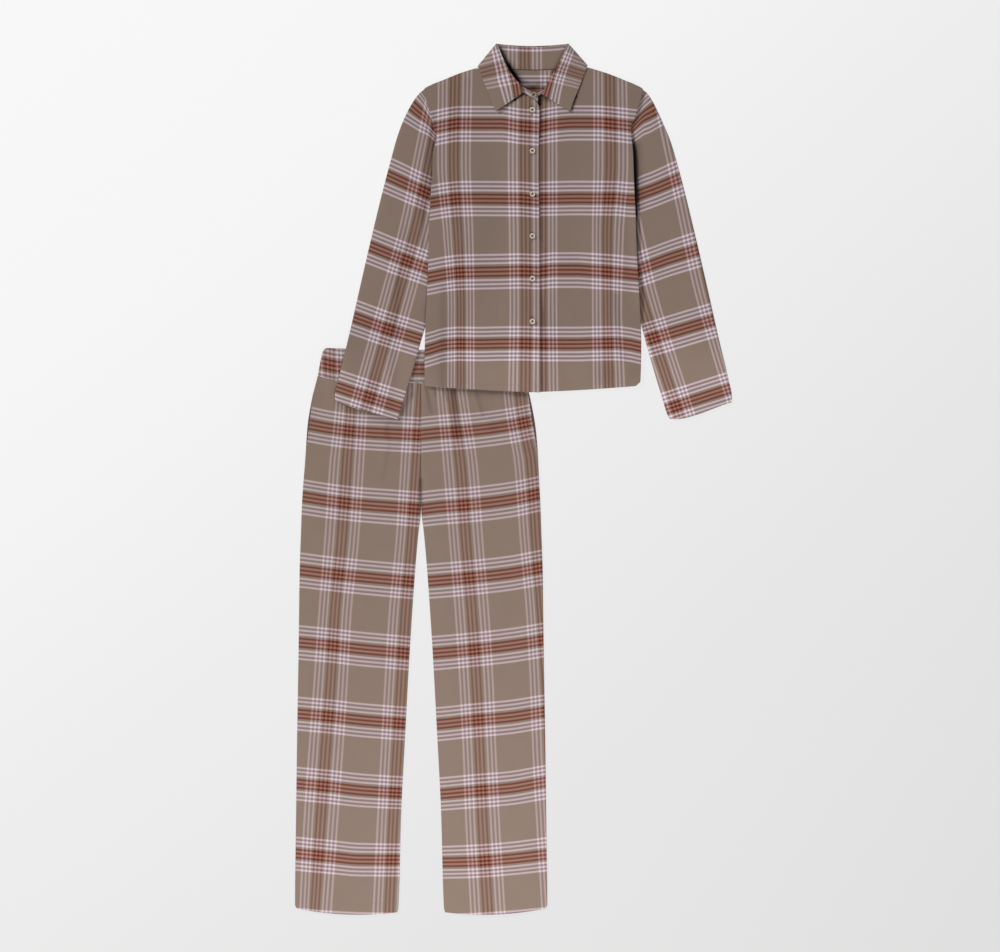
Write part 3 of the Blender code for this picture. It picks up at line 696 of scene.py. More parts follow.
# %% Trousers: fronts
# Soft folds below the waistband: points of the ridge from the top down, height, half width.
FOLDS = (
    (((-193, 172), (-195, 112)), 1.5, 3.2), (((-178, 172), (-177, 105)), 1.7, 3.4),
    (((-165, 172), (-156, 115)), 1.7, 3.4), (((-149, 170), (-143, 125)), 1.2, 3.0),
    (((-135, 172), (-130, 112)), 1.4, 3.2), (((-119, 172), (-113, 131), (-104, 65)), 2.5, 4.2),
    (((-75, 172), (-60, 131), (-33, 80)), 1.8, 6.5), (((-28, 170), (-18, 85)), 1.2, 5.0),
    (((16, 170), (29, 85)), 1.8, 5.0), (((-294, 176), (-294, 68)), 2.0, 4.5),
    (((-311, 176), (-312, 100)), 1.0, 4.0), (((-231, 176), (-236, 80), (-246, 10)), 1.5, 6.0),
    (((-340, 182), (-345, 120)), 0.8, 6.0), (((-262, 176), (-262, 110)), 1.0, 5.0),
)
# Painted shade and light: points, amount, half width. Painted shade under the cuff, under the
# shirt's hem, in the folds, and where the legs part, and painted light on one fold's ridge and the hip.
LEG_PAINTED_SHADE_AND_LIGHT = (
    (((-324, 140), (-298, 125), (-243, 110), (-212, 101)), -0.22, 6.0),
    (((-189.5, 156), (-204, 121)), -0.20, 3.5), (((-186, 175), (-186, 149)), -0.35, 2.0),
    (((-171.5, -2), (-171.5, -59)), -0.55, 3.2), (((-162.5, 169), (-153, 123)), -0.20, 3.0),
    (((-145, 167), (-145, 155)), -0.25, 3.0), (((-131, 167), (-123, 145)), -0.25, 2.5),
    (((-126, 167), (-118, 99), (-109, 63)), 0.10, 3.0), (((-112.5, 164), (-105, 77)), -0.33, 6.0),
    (((-70.5, 160), (-57, 118)), -0.20, 4.0), (((-37, 95), (-37, 90)), -0.10, 10.0),
    (((-234, 99), (-234, 77)), -0.15, 5.0), (((-228, 72), (-241, -2)), -0.08, 4.0),
    (((-345, 215), (-343, 110)), 0.04, 14.0), (((-126, 162), (-60, 158), (29, 155)), -0.22, 6.5),
    (((-189, 172), (-200, 112)), -0.20, 6.0),
)
FOLD_STEP = 2.2          # column spacing that is fine enough for the folds
HEM_TURN = 22.0          # height of the turned-up hem
HEM_STEP = 0.5


def ridges(plan, folds):
    """Height of ridges that run down from the waist seam and fade."""
    lift = np.zeros(plan.shape[:2])
    for points, height, half_width in folds:
        xs, ys = np.array(points).T
        run = (ys[0] - plan[..., 1]) / (ys[0] - ys[-1])
        middle = np.interp(-plan[..., 1], -ys, xs)
        away = (plan[..., 0] - middle) / (half_width * (1 + 0.7 * np.clip(run, 0, 1)))
        lift += height * np.exp(-away ** 2) * np.clip(1 - run, 0, 1) ** 1.2
    return lift


def centre_seam(plan):
    """The groove along the centre seam, deepest where the legs part."""
    away = np.abs(plan[..., 0] - TROUSER_AXIS)
    near_crotch = np.clip(1 - (plan[..., 1] - CROTCH) / 90, 0, 1)
    closed = np.clip((plan[..., 1] - CROTCH) / 12, 0, 1)
    return closed * (0.9 * np.exp(-(away / 1.7) ** 2) + 1.3 * near_crotch * np.exp(-(away / 4.5) ** 2))


def hem_step(distance, turn=HEM_TURN):
    """The extra layer of a turned-up hem."""
    return HEM_STEP * np.clip((turn + 1.5 - distance) / 3.0, 0, 1)


leg_fronts = {}
for side in (RIGHT, LEFT):
    name = "trousers_front_" + SIDE_NAMES[side]
    plan = leg_grid(side, STEP, FOLD_STEP)
    coordinates = cloth_at(plan, LEG_WARP[side], LEG_WEFT[side], soft_lines(plan, LEG_PAINTED_SHADE_AND_LIGHT))
    u = shares(LEG_SPAN, FOLD_STEP)
    height_share = (plan[..., 1] - POCKET_END) / (POCKET_TOP + 14 - POCKET_END)
    bite = MOUTH_GAP[side] * np.sin(math.pi * np.clip(height_share, 0, 1)) ** 0.8
    plan[:, :, 0] -= side * bite * (1 - u[None, :]) ** 3
    top = smoothed(seen_height(tree_of(nodes[name]), plan), 14)
    from_hem = toward_edge(plan)[0]
    top += ridges(plan, FOLDS) - centre_seam(plan)
    top += hem_step(from_hem) + ripple(plan, 0.35) * np.clip(from_hem / 60, 0, 1)
    lower = with_height(plan, top - WALL)
    upper = with_height(plan, top)
    front = wall(name + "_cloth", upper, lower, coordinates, [name], TROUSER_FLANNEL)
    leg_fronts[side] = upper

# %% Trousers: pocket facings
FACING_SHIFT = {RIGHT: (20.0, 67.5, 0.0), LEFT: (40.0, 64.0, 0.0)}   # cut from another place
# Painted shade over the whole facing, which lies in the pocket's mouth.
FACING_PAINTED_SHADE = -0.42
for side in (RIGHT, LEFT):
    name = "pocket_facing_" + SIDE_NAMES[side]
    rows = rows_along(LEG)
    rows = rows[(rows[:, 1] > POCKET_END) & (rows[:, 1] < POCKET_TOP + 20)]
    outer = leg_outer(rows, side, 0.4)
    inner = outer - (side * POCKET_WIDTH, 0)
    plan = grid_between(outer, inner, np.zeros(len(rows)), shares(POCKET_WIDTH, 3.0))
    lower = with_height(plan, np.full(plan.shape[:2], WALL + SEAM * 0.5))
    upper = with_height(plan, np.full(plan.shape[:2], WALL + POCKET_WALL))
    coordinates = cloth_at(plan, LEG_WARP[side], LEG_WEFT[side], FACING_PAINTED_SHADE) + FACING_SHIFT[side]
    facing = wall(name + "_cloth", upper, lower, coordinates, [name], TROUSER_FLANNEL)

# %% [markdown]
# ## Waistband
# The waistband is a tube of cloth round a wide elastic. Laid flat it shows a front and a
# back band, and the elastic draws the cloth into fine, uneven gathers.

# %% Waistband
# outer, outer_y, inner_y, dip
BAND = ((190, 190, 175.5, 8), (181.5, 232, 229, 3), (178, 238.5, 235, 1), (173, 240.7, 237.2, 0))
BAND_WALL = 3.0
BAND_SPAN = 190.0        # half of the band, for its columns
GATHER_DEPTH = 0.42
BAND_WARP = at_stations((176.0, 238.0), (0, -338.6, -338.6), (1, -221.0, -221.0), (2, -104.0, -104.0),
                        (3, 11.9, 11.9))
BAND_WEFT = at_stations((-357.0, -323.8, -246.6, -176.6, -40.0), (0, 65.4, 59.3, 55.2, 53.3, 57.0),
                        (1, 213.6, 206.8, 202.4, 201.7, 206.9), (2, 360.7, 355.4, 351.1, 349.8, 354.0))
# Painted light where the band's right end turns up: points, amount, half width
BAND_PAINTED_LIGHT = ((((-345, 240), (-345, 190)), 0.08, 9.0),)


def band_grid(step):
    """Plan points of the waistband, from right to left."""
    rows = rows_along(BAND, 3.0)
    across = shares(BAND_SPAN, step)
    halves = []
    for side in (RIGHT, LEFT):
        outer = np.stack((TROUSER_AXIS + side * rows[:, 0], rows[:, 1] + SEAM), axis=1)
        inner = np.stack((np.full(len(rows), TROUSER_AXIS), rows[:, 2] + SEAM), axis=1)
        halves.append(grid_between(outer, inner, 0.0, across, rows[:, 3]))
    return np.concatenate((halves[0][:, :-2], halves[1][:, -1:], halves[1][:, -3::-1]), axis=1)


def gathers(plan, depth, phase):
    """Fine uneven waves across the band; where they are used they are pinched along its two edges."""
    x = plan[..., 0] + 2.5 * np.sin(plan[..., 0] / 23 + phase)
    slant = 0.06 * (plan[..., 1] - 200)
    wave = np.sin(2 * math.pi * (x + slant) / 9.3 + phase) + 0.45 * np.sin(2 * math.pi * x / 5.9 + 2 * phase)
    return depth * wave


for name, level in (("waistband_back", 0.0), ("waistband_front", BAND_WALL + SEAM)):
    plan = band_grid(1.7 if level else 4.0)
    low_edge, high_edge = toward_edge(plan)[:2]
    pinch = np.clip(np.minimum(low_edge, high_edge) / 6, 0.25, 1)
    top = np.full(plan.shape[:2], level + BAND_WALL)
    if level:
        top += 0.45 + gathers(plan, GATHER_DEPTH, 0.3) * pinch
    lower = with_height(plan, np.full(plan.shape[:2], level) + (0.1 if level else 0.0))
    coordinates = cloth_at(plan, BAND_WARP, BAND_WEFT, soft_lines(plan, BAND_PAINTED_LIGHT))
    band = wall(name + "_cloth", with_height(plan, top), lower, coordinates, [name], TROUSER_FLANNEL)
    if level:
        band_top = with_height(plan, top)

# %% [markdown]
# ## The shirt's outline
# One table gives the outline of the shirt's body, from hem to neck. The sleeves need it
# first, because they lie under the body and are pressed flat along its side edges.

# %% Shirt: outline
SHIRT_AXIS = 36.0
# right, side_y, left, sag, neck, neck_y: reaches from the shirt's centre line
BODY = (
    (199.5, 171, 188, 12, 14.6, 159), (200.5, 180, 196.5, 10, 14.5, 169), (200, 247, 198, 2, 14, 245),
    (196.5, 329, 195, 0, 13.5, 329), (193, 421, 189.8, 0, 13, 421), (191, 491, 187.3, 0, 12.5, 491),
    (186.7, 559, 184.2, 0, 11.5, 559), (185, 600, 183, 0, 11.5, 600), (178.4, 629, 180.4, 0, 12, 629),
    (185, 648, 179.4, 0, 12.6, 650), (189, 668, 188, 0, 13, 676), (194.2, 683, 192.5, 0, 9.3, 692),
    (199, 701, 198, 0, -14, 706.5), (202, 715, 201.5, 0, -30, 716), (187, 725.4, 186.6, 0, -44, 724.5),
    (170, 732.2, 170, 0, -56, 732), (152, 739.8, 152, 0, -66, 738), (133, 747.2, 132, 1, -76, 746),
    (110, 754.4, 109, 4, -84, 752), (96, 758.5, 95, 7, -90, 757),
)
NECK_LENGTH = 270.0      # the end of the outline, round the neck, that may get finer rows


def body_edges(step=STEP, fine_step=None):
    """Fine rows of the body's right, left and neck edges, and its sag."""
    rows = rows_along(BODY, step, fine_step, NECK_LENGTH)
    right = np.stack((SHIRT_AXIS - rows[:, 0], rows[:, 1]), axis=1)
    left = np.stack((SHIRT_AXIS + rows[:, 2], rows[:, 1]), axis=1)
    neck = np.stack((rows[:, 4], rows[:, 5]), axis=1)
    return right, left, neck, rows[:, 3]


def beyond_body(plan, side):
    """How far plan points lie outside the body's side edge."""
    right, left, _, _ = body_edges()
    edge = right if side == RIGHT else left
    return side * (plan[..., 0] - np.interp(plan[..., 1], edge[:, 1], edge[:, 0]))


print("body outline of", len(BODY), "rows")

# %% [markdown]
# ## Sleeves
# A sleeve is one piece of cloth folded round, with its seam under the arm, so it is a strip
# whose two long edges meet along the inner fold. The outer fold has no seam, and there the
# check runs on over the edge.

# %% Sleeves
# outer, outer_y, inner, inner_y, sag, loft: reaches from the shirt's centre line
SLEEVE = (
    (200, 717, 122, 482, 0, 2.8), (208, 711, 127, 477, 0, 3.2), (216, 701, 131, 472, 0, 3.8),
    (225, 686, 135, 466, 0, 4.2), (237.5, 660, 139, 457, 0, 4.6), (251, 626, 143, 447, 0, 4.8),
    (262.5, 587, 148, 434, 0, 5.0), (276, 536, 155, 412, 0, 5.0), (291.5, 473, 166, 374, 0, 5.0),
    (307.5, 405, 180, 331, 0, 5.0), (325, 328, 200, 275, 0, 5.0), (341.5, 255, 217, 216, 0, 4.8),
    (358, 186, 236, 153, 1, 4.4),
)
CUFF = {RIGHT: ((365.9, 149, 249, 112, 3.5, 4.0), (364.8, 145.5, 250, 109.5, 4.4, 4.0)),
        LEFT: ((364.9, 149, 249.5, 113, 4.2, 4.0), (364.4, 141, 253, 110, 5.7, 4.0))}
SLEEVE_WEFT = {
    RIGHT: through_points(False,
                          (0, (-318.5, 166.6), (-267.4, 150.0), (-218.2, 134.3)),
                          (1, (-286.9, 294.7), (-235.0, 276.0), (-187.5, 261.4)),
                          (2, (-256.1, 424.2), (-216.2, 408.2), (-176.6, 393.4)),
                          (2.829, (-220.8, 528.1), (-198.7, 518.5), (-176.6, 509.3), (-156.4, 500.5)),
                          (3, (-220.8, 553.0), (-198.7, 542.9), (-176.6, 533.0), (-156.4, 524.0)),
                          (3.171, (-220.8, 578.0), (-198.7, 568.0), (-176.6, 557.0), (-156.4, 548.5)),
                          (3.829, (-187.7, 657.8), (-176.6, 650.8), (-156.4, 640.1), (-145.4, 629.3)),
                          (4, (-187.7, 685.4), (-176.6, 675.3), (-165.6, 667.0), (-145.4, 646.0)),
                          (4.171, (-176.6, 709.3), (-165.6, 695.0), (-156.4, 677.5), (-145.4, 660.0))),
    LEFT: through_points(False,
                         (0, (291.5, 131.5), (340.4, 147.6), (380.9, 160.7)),
                         (1, (259.6, 260.2), (307.1, 274.3), (359.0, 289.6)),
                         (2, (237.0, 387.6), (287.8, 406.1), (327.7, 418.4)),
                         (3, (242.1, 527.4), (259.4, 533.6), (293.1, 547.5)),
                         (3.829, (228.2, 634.4), (239.2, 642.2), (250.2, 646.5), (261.3, 653.0)),
                         (4, (220.8, 649.5), (239.2, 667.9), (250.2, 673.8), (261.3, 680.0)),
                         (4.171, (228.2, 679.9), (239.2, 693.3), (250.2, 704.2), (261.3, 714.8))),
}
SLEEVE_WARP = {
    RIGHT: through_points(True, (0, (-152.5, 594.7), (-178.5, 467.4), (-206.4, 364.5), (-233.7, 265.0),
                                 (-256.7, 182.0))),
    LEFT: through_points(True,
                         (0, (169.3, 605.4), (199.3, 483.9), (227.2, 357.0), (261.3, 244.7), (286.1, 169.3)),
                         (1, (313.5, 587.0), (340.0, 454.5), (360.6, 357.0), (395.6, 228.2), (412.2, 173.0))),
}
CREASE_STEP = 3.2        # grid spacing for cloth with soft creases
SLEEVE_SPAN = 150.0      # about how wide a flat sleeve is, for its columns
SHOULDER_LEAN = 1.8      # both outer folds swing this much to the right below the shoulder
WRIST_LEAN = 1.1         # the left inner fold swings this much to the right above the cuff
# Where the body presses on a sleeve: from Y, to Y, depth, width of the slope beside it
PRESSED = {RIGHT: (470.0, 660.0, 2.2, 20.0), LEFT: (230.0, 645.0, 2.3, 12.0)}
PRESS_FADE = 25.0


def sleeve_plan(outer, inner, sag, u, side):
    """Plan points across a sleeve. The cuff sags near its outer corner on the right, and near
    its inner corner on the left."""
    lean = u if side == LEFT else 1 - u
    plan = outer[:, None, :] * (1 - u[..., None]) + inner[:, None, :] * u[..., None]
    plan[:, :, 1] -= sag[:, None] * SKEW * u * (1 - u) * lean
    return plan


def pressed(plan, side):
    """Depth of the dent that the body's edge makes in a sleeve."""
    low, high, depth, width = PRESSED[side]
    along = np.clip(np.minimum(plan[..., 1] - low, high - plan[..., 1]) / PRESS_FADE, 0, 1)
    near = np.clip(1 - beyond_body(plan, side) / width, 0, 1)
    return depth * along * near * near * (3 - 2 * near)


# Painted shade that the body casts on the sleeves and beside the armholes, painted shade in
# soft creases and over broad parts of the sleeves, and painted light on the left cuff and at the left
# shoulder seam
SLEEVE_PAINTED_SHADE_AND_LIGHT = (
    (((217.5, 622), (221, 600), (223, 550), (223.5, 490)), -0.80, 5.0),
    (((223.5, 490), (226, 403)), -0.85, 3.8), (((225.5, 403), (229, 329), (231.5, 290)), -0.45, 2.4),
    (((224, 612), (227, 560), (228, 500)), -0.35, 9.0),
    (((-200, 458), (-210, 421), (-224, 191)), -0.08, 9.0),
    (((-152, 646), (-153, 600), (-151, 513)), -0.18, 9.0), (((283, 155), (300, 145)), 0.07, 12.0),
    (((-291, 235), (-262, 140)), -0.145, 60.0), (((305, 140), (385, 150)), -0.07, 14.0),
    (((-148, 620), (-150, 574)), -0.30, 3.0), (((-150, 672), (-149, 642)), -0.30, 3.0),
    (((-160, 560), (-164, 528), (-167, 460), (-170, 420)), -0.25, 3.5), (((238, 712), (243, 707)), 0.60, 4.0),
    (((-207, 425), (-214, 348), (-219, 262)), -0.12, 4.5),
    (((-218, 280), (-222, 200), (-230, 125)), -0.08, 9.0),
)
sleeve_tops = {}
for side in (RIGHT, LEFT):
    name = "sleeve_" + SIDE_NAMES[side]
    rows = rows_along(SLEEVE + CUFF[side], CREASE_STEP)
    outer = np.stack((SHIRT_AXIS + side * rows[:, 0], rows[:, 1]), axis=1)
    inner = np.stack((SHIRT_AXIS + side * rows[:, 2], rows[:, 3]), axis=1)
    outer[:, 0] -= SHOULDER_LEAN * np.exp(-((outer[:, 1] - 665) / 45) ** 2)
    if side == LEFT:
        inner[:, 0] -= WRIST_LEAN * np.clip((290 - inner[:, 1]) / 40, 0, 1)
    sag, loft = rows[:, 4], rows[:, 5][:, None]
    across = shares(SLEEVE_SPAN, CREASE_STEP)
    plan = sleeve_plan(outer, inner, sag, across[None, :], side)
    solid = tree_of(nodes[name])
    middle = smoothed((seen_height(solid, plan) + seen_height(solid, plan, False)) / 2, 12)
    middle = np.maximum(middle, loft / 2)
    fullness = (1 - np.abs(2 * across - 1) ** 6) ** 0.5
    width = np.linalg.norm(outer - inner, axis=1)[:, None]
    cuff = toward_edge(plan)[1]
    coordinates = cloth_at(plan, SLEEVE_WARP[side], SLEEVE_WEFT[side], soft_lines(plan, SLEEVE_PAINTED_SHADE_AND_LIGHT))
    turned = coordinates.copy()
    turned[..., 0] = 2 * coordinates[:, :1, 0] - coordinates[..., 0]
    skins = []
    for shrink, half in ((0.0, loft / 2), (WALL, loft / 2 - WALL)):
        u = (shrink + across[None, :] * (width - 2 * shrink)) / width
        flat = sleeve_plan(outer, inner, sag, u, side)
        rise = (ripple(flat, 0.3) - pressed(flat, side)) * fullness
        if shrink == 0:
            rise += 0.6 * hem_step(cuff)
        thinnest = (2 * WALL + 0.1 - shrink) * fullness
        upper = with_height(flat, np.maximum(middle + half * fullness + rise, thinnest))
        lower = with_height(flat, np.maximum(middle - half * np.minimum(1, 1.25 * fullness), shrink))
        skins.append(np.concatenate((upper[:, ::-1], lower[:, 1:]), axis=1))
    cloth = np.concatenate((coordinates[:, ::-1], turned[:, 1:]), axis=1)
    sleeve = wall(name + "_cloth", skins[0], skins[1], cloth, [name], SHIRT_FLANNEL)
    sleeve_tops[side] = skins[0][:, :len(across)]

# %% [markdown]
# ## Shirt body
# The back is one wide piece, and the two fronts lie on it, the right one over the left as on
# a woman's shirt. Their inner edges are folded under as a facing on the real shirt; here each
# front is one wall of even thickness.

# %% Shirt: check
BUTTON_LINE = 33.7
BODY_WARP_STATIONS = (191.4, 314.6, 449.0, 583.3, 726.8)
FRONT_WARP = {
    RIGHT: at_stations(BODY_WARP_STATIONS, (-0.228, -121.0, -120.5, -128.5, -139.6, -138.6),
                       (0, -98.0, -98.2, -103.2, -110.8, -108.6),
                       (0.228, -74.3, -74.3, -76.5, -81.3, -78.5),
                       (0.829, -1.8, 0.3, -0.6, -2.3, -0.2), (1, 21.3, 22.3, 21.6, 20.4, 21.6),
                       (1.171, 43.8, 44.6, 44.3, 43.8, 45.0)),
    LEFT: at_stations(BODY_WARP_STATIONS, (0, 51.3, 50.4, 51.5, 51.2, 52.5),
                      (0.171, 72.3, 71.0, 70.9, 70.7, 69.9), (0.829, 153.5, 152.0, 151.7, 154.9, 154.9),
                      (1, 174.2, 171.7, 170.7, 178.0, 176.3), (1.171, 194.1, 189.5, 192.6, 200.8, 198.9)),
}
FRONT_WEFT = {
    RIGHT: groups((-150.9, -127.0, -99.4, -62.6, -25.8, 11.0, 36.8),
                  (3, 22.2, 22.4, 239.5, 246.3, 248.4, 247.9, 248.7, 248.9, 248.3),
                  (4, 23.0, 23.3, 371.7, 376.3, 379.7, 380.8, 381.5, 382.4, 381.4),
                  (5, 22.6, 23.0, 508.2, 512.3, 515.0, 515.3, 515.2, 514.6, 512.5),
                  (6, 23.4, 23.0, 644.4, 649.7, 653.5, 653.6, 653.6, 648.8, 646.6)),
    LEFT: groups((53.4, 75.4, 112.2, 149.0, 185.8, 213.4, 224.5),
                 (3, 22.4, 22.4, 248.0, 248.0, 248.0, 249.0, 249.7, 247.0, 244.6),
                 (4, 23.5, 23.2, 382.5, 384.5, 384.6, 382.5, 379.6, 376.8, 375.7),
                 (5, 21.7, 22.6, 514.8, 515.3, 515.9, 515.6, 515.5, 513.1, 512.8),
                 (6, 22.8, 22.5, 649.1, 652.8, 655.3, 655.1, 652.3, 649.2, 648.1)),
}
# The neck shows a little of the back's inside, where its own lines are whole.
BACK_WARP = at_stations((680.0, 760.0), (0, 79.5, 79.5))
BACK_WEFT = at_stations((0.0, 60.0), (5, 585.0, 585.0), (6, 710.8, 710.8))


# Where an edge of the body stands up a little: from, to, height, width of the slope
SIDE_LIFT = {RIGHT: (480.0, 640.0, 0.6, 8.0), LEFT: (300.0, 622.0, 3.2, 10.0)}
HEM_LIFT = (-165.0, 30.0, 0.7, 12.0)
LIFT_FADE = 30.0


def lifted_edges(plan):
    """Height that the side edges and the hem stand up above what they lie on."""
    lift = np.zeros(plan.shape[:2])
    for side, (low, high, height, width) in SIDE_LIFT.items():
        along = np.clip(np.minimum(plan[..., 1] - low, high - plan[..., 1]) / LIFT_FADE, 0, 1)
        lift += height * along * np.exp(-(beyond_body(plan, side) / width) ** 2)
    low, high, height, width = HEM_LIFT
    along = np.clip(np.minimum(plan[..., 0] - low, high - plan[..., 0]) / LIFT_FADE, 0, 1)
    return lift + height * along * np.exp(-(toward_edge(plan)[0] / width) ** 2)


# %% Shirt: back
# Painted shade inside the neck: points, amount, half width
NECK_PAINTED_SHADE = (
    (((-25.6, 788), (-15.8, 768.3), (-7.9, 755.2), (0.7, 742), (9, 732)), -0.80, 6.0),
    (((-10, 758), (2, 741)), -0.35, 10.0), (((20, 728), (44, 726)), -0.15, 22.0),
    (((20, 717), (46, 717)), -0.35, 5.0), (((17, 729), (34, 723), (48, 726)), -0.40, 5.5),
)
BODY_SPAN = 380.0        # about how wide the body is, for its columns
HEM_BELOW, BACK_SAG = 300, 0.75      # the back's hem stays behind the fronts'
right, left, _, sag = body_edges(STEP)
sag = sag * np.where(right[:, 1] < HEM_BELOW, BACK_SAG, 1)
plan = grid_between(right, left, sag, shares(BODY_SPAN))
top = smoothed(seen_height(tree_of(nodes["shirt_back"]), plan), 5)
top += lifted_edges(plan)
back = wall("shirt_back_cloth", with_height(plan, top), with_height(plan, top - WALL),
            cloth_at(plan, BACK_WARP, BACK_WEFT, soft_lines(plan, NECK_PAINTED_SHADE)), ["shirt_back"], SHIRT_FLANNEL)

# %% Shirt: fronts
NECK_STEP = 1.7          # fine spacing beside the neck and the placket
FRONT_SPAN, PLACKET_SPAN = 210.0, 75.0   # about how wide a front is, and its finer part
FRONT_SAG = 0.12         # share of the hem's sag that the fronts take
# A slight darkening over each whole front; painted shade beside the collar, the placket and in
# soft creases; and painted light on a few crease ridges and beside the placket
FRONT_DARKENING = {RIGHT: -0.032, LEFT: -0.055}
FRONT_PAINTED_SHADE_AND_LIGHT = {
    RIGHT: ((((-30, 679), (-16, 687), (1, 698)), -0.70, 2.4), (((1, 698), (19, 709)), -0.85, 3.0),
            (((-131, 353), (-131, 169)), -0.12, 6.0), (((-108.5, 350), (-108.5, 175)), 0.06, 4.0),
            (((38.5, 309), (38.5, 182)), 0.05, 4.0), (((-86.5, 734), (-86.5, 655)), -0.08, 4.0),
            (((-150, 235), (-115, 185)), -0.13, 38.0), (((-152, 646), (-151, 513)), -0.12, 9.0),
            (((-148, 672), (-147, 640)), -0.18, 3.0)),
    LEFT: ((((113.5, 703), (105.5, 680)), -0.80, 3.2), (((125, 736), (117.5, 713), (113.5, 703)), -0.60, 2.6),
           (((47, 706), (47, 690)), -0.80, 4.0), (((48, 697), (48, 630)), -0.70, 2.0),
           (((47.5, 630), (48, 440)), -0.40, 1.6), (((48, 440), (47.5, 172)), -0.14, 1.6),
           (((50, 630), (50, 440)), -0.10, 5.0), (((165, 195), (225, 200)), -0.125, 28.0),
           (((52.5, 384), (52.5, 164)), 0.05, 4.0), (((187, 335), (192, 262), (199, 222)), -0.20, 7.0),
           (((158, 250), (158, 176)), -0.12, 3.0), (((158, 482), (158, 397)), -0.06, 4.0),
           (((50, 708), (62, 699)), -0.60, 6.0)),
}
front_tops = {}
for side in (LEFT, RIGHT):
    name = "shirt_front_" + SIDE_NAMES[side]
    right, left, neck, sag = body_edges(CREASE_STEP, NECK_STEP)
    outer = right if side == RIGHT else left
    reach_in = neck[:, 0] + (BUTTON_LINE - SHIRT_AXIS) * -side
    inner = np.stack((SHIRT_AXIS - side * reach_in, neck[:, 1]), axis=1)
    across = finer_at_end(FRONT_SPAN, CREASE_STEP, NECK_STEP, PLACKET_SPAN) / FRONT_SPAN
    plan = grid_between(outer, inner, FRONT_SAG * sag, across)
    top = smoothed(seen_height(tree_of(nodes[name]), plan), 7)
    from_hem = toward_edge(plan)[0]
    top += 0.4 * hem_step(from_hem, 12.0) + ripple(plan, 0.3) * np.clip(from_hem / 60, 0, 1)
    top += lifted_edges(plan)
    upper = with_height(plan, top)
    front = wall(name + "_cloth", upper, with_height(plan, top - WALL),
                 cloth_at(plan, FRONT_WARP[side], FRONT_WEFT[side],
                          FRONT_DARKENING[side] + soft_lines(plan, FRONT_PAINTED_SHADE_AND_LIGHT[side])), [name], SHIRT_FLANNEL)
    front_tops[side] = upper

# %% [markdown]
# ## Collar
# The collar is two bands. The stand runs round the neck, and the fall is folded down over
# it. Flattened on the table both go round twice: open at the front, creased at the two
# sides, and pressed double behind the neck. Each is swept through sections, one at a time,
# from the right front round the back to the left front.

# %% Collar
AIR = 0.45
LAYER = WALL + AIR
# fold_x, fold_y, edge_x, edge_y, level
STAND_RIGHT = ((44.2, 704.2, 43.8, 693.5, 3.75), (29.4, 713.4, 29, 702.6, 3.75), (13, 723, 14, 712, 3.0),
               (-3, 738, -13, 727, 2.3), (-14, 757, -28, 739, 2.2), (-24, 777, -43, 751, 2.2))
STAND_LEFT = ((25, 709, 24, 695, 2), (44, 711, 45, 702.5, 2), (61, 722, 66, 715, 2), (72, 741, 80, 727, 2),
              (83, 760, 95, 739, 2), (92, 779, 111, 751, 2))
STAND_CREASES = ((-29, 798.5, -56, 764), (96, 798.5, 126, 764))
FALL_RIGHT = ((19.5, 712, -33, 676, 5.2), (10.5, 726, -41, 694, 4.6), (-1.3, 740, -47, 710, 4.2),
              (-11.8, 757, -53.5, 725, 4.0), (-23, 780, -60.5, 743, 3.8))
FALL_LEFT = ((51, 708, 103, 675.3, 4.3), (62.6, 728.5, 109.8, 695.5, 4.1), (74, 749, 117.8, 715, 4.0),
             (84.6, 769, 125.4, 735, 3.9), (92, 785, 130.6, 747, 3.8))
FALL_CREASES = ((-31, 800.7, -66, 758.7), (98.3, 800.7, 134.5, 760))
BACK_NECK_SAG = 4.0
BACK_STEPS, BACK_SPREAD = 36, 0.12
CREASE_LEAN = 0.15
STAND_BACK_REACH, FALL_BACK_REACH = 41.5, 58.0
FOLD_RISE = {RIGHT: 5.5, LEFT: 2.5}
FOLD_FRONT, FOLD_BACK, FOLD_EASE = 712.0, 806.0, 22.0


def level_height(level):
    """Height of the middle of a layer, counted from the surface."""
    return level * LAYER + WALL / 2


def front_part(table):
    """Fine sections of one front: both edges' points and an upward direction."""
    rows = rows_along(table, 3.5)
    height = level_height(rows[:, 4])
    up = np.tile((0.0, 0.0, 1.0), (len(rows), 1))
    return np.column_stack((rows[:, 0:2], height, rows[:, 2:4], height, up))


def crease_part(crease, lower, upper, outward_way, bulge):
    """Sections that turn round a side crease of the collar."""
    sections = []
    for angle in np.radians(np.linspace(78, -78, 11)):
        shift = outward_way * bulge * math.cos(angle)
        height = (upper + lower) / 2 + (upper - lower) / 2 * math.sin(angle)
        out = Vector((outward_way * math.cos(angle), CREASE_LEAN * math.cos(angle), math.sin(angle)))
        out.normalize()
        sections.append((crease[0] + shift, crease[1], height, crease[2] + shift, crease[3], height, *out))
    return np.array(sections)


def back_part(creases, count, sag, depth, level):
    """Sections behind the neck, between the two creases."""
    first, last = np.array(creases)
    middle = (first[0] + last[0]) / 2
    height = level_height(level)
    sections = []
    for index in range(1, count):
        t = index / count
        fold = first[:2] + (last[:2] - first[:2]) * t - (0, sag * 4 * t * (1 - t))
        spread = 1 + BACK_SPREAD * math.cos(math.pi * t) ** 2
        edge_x = middle + (fold[0] - middle) * spread
        sections.append((*fold, height, edge_x, fold[1] - depth, height, 0, 0, -1))
    return np.array(sections)


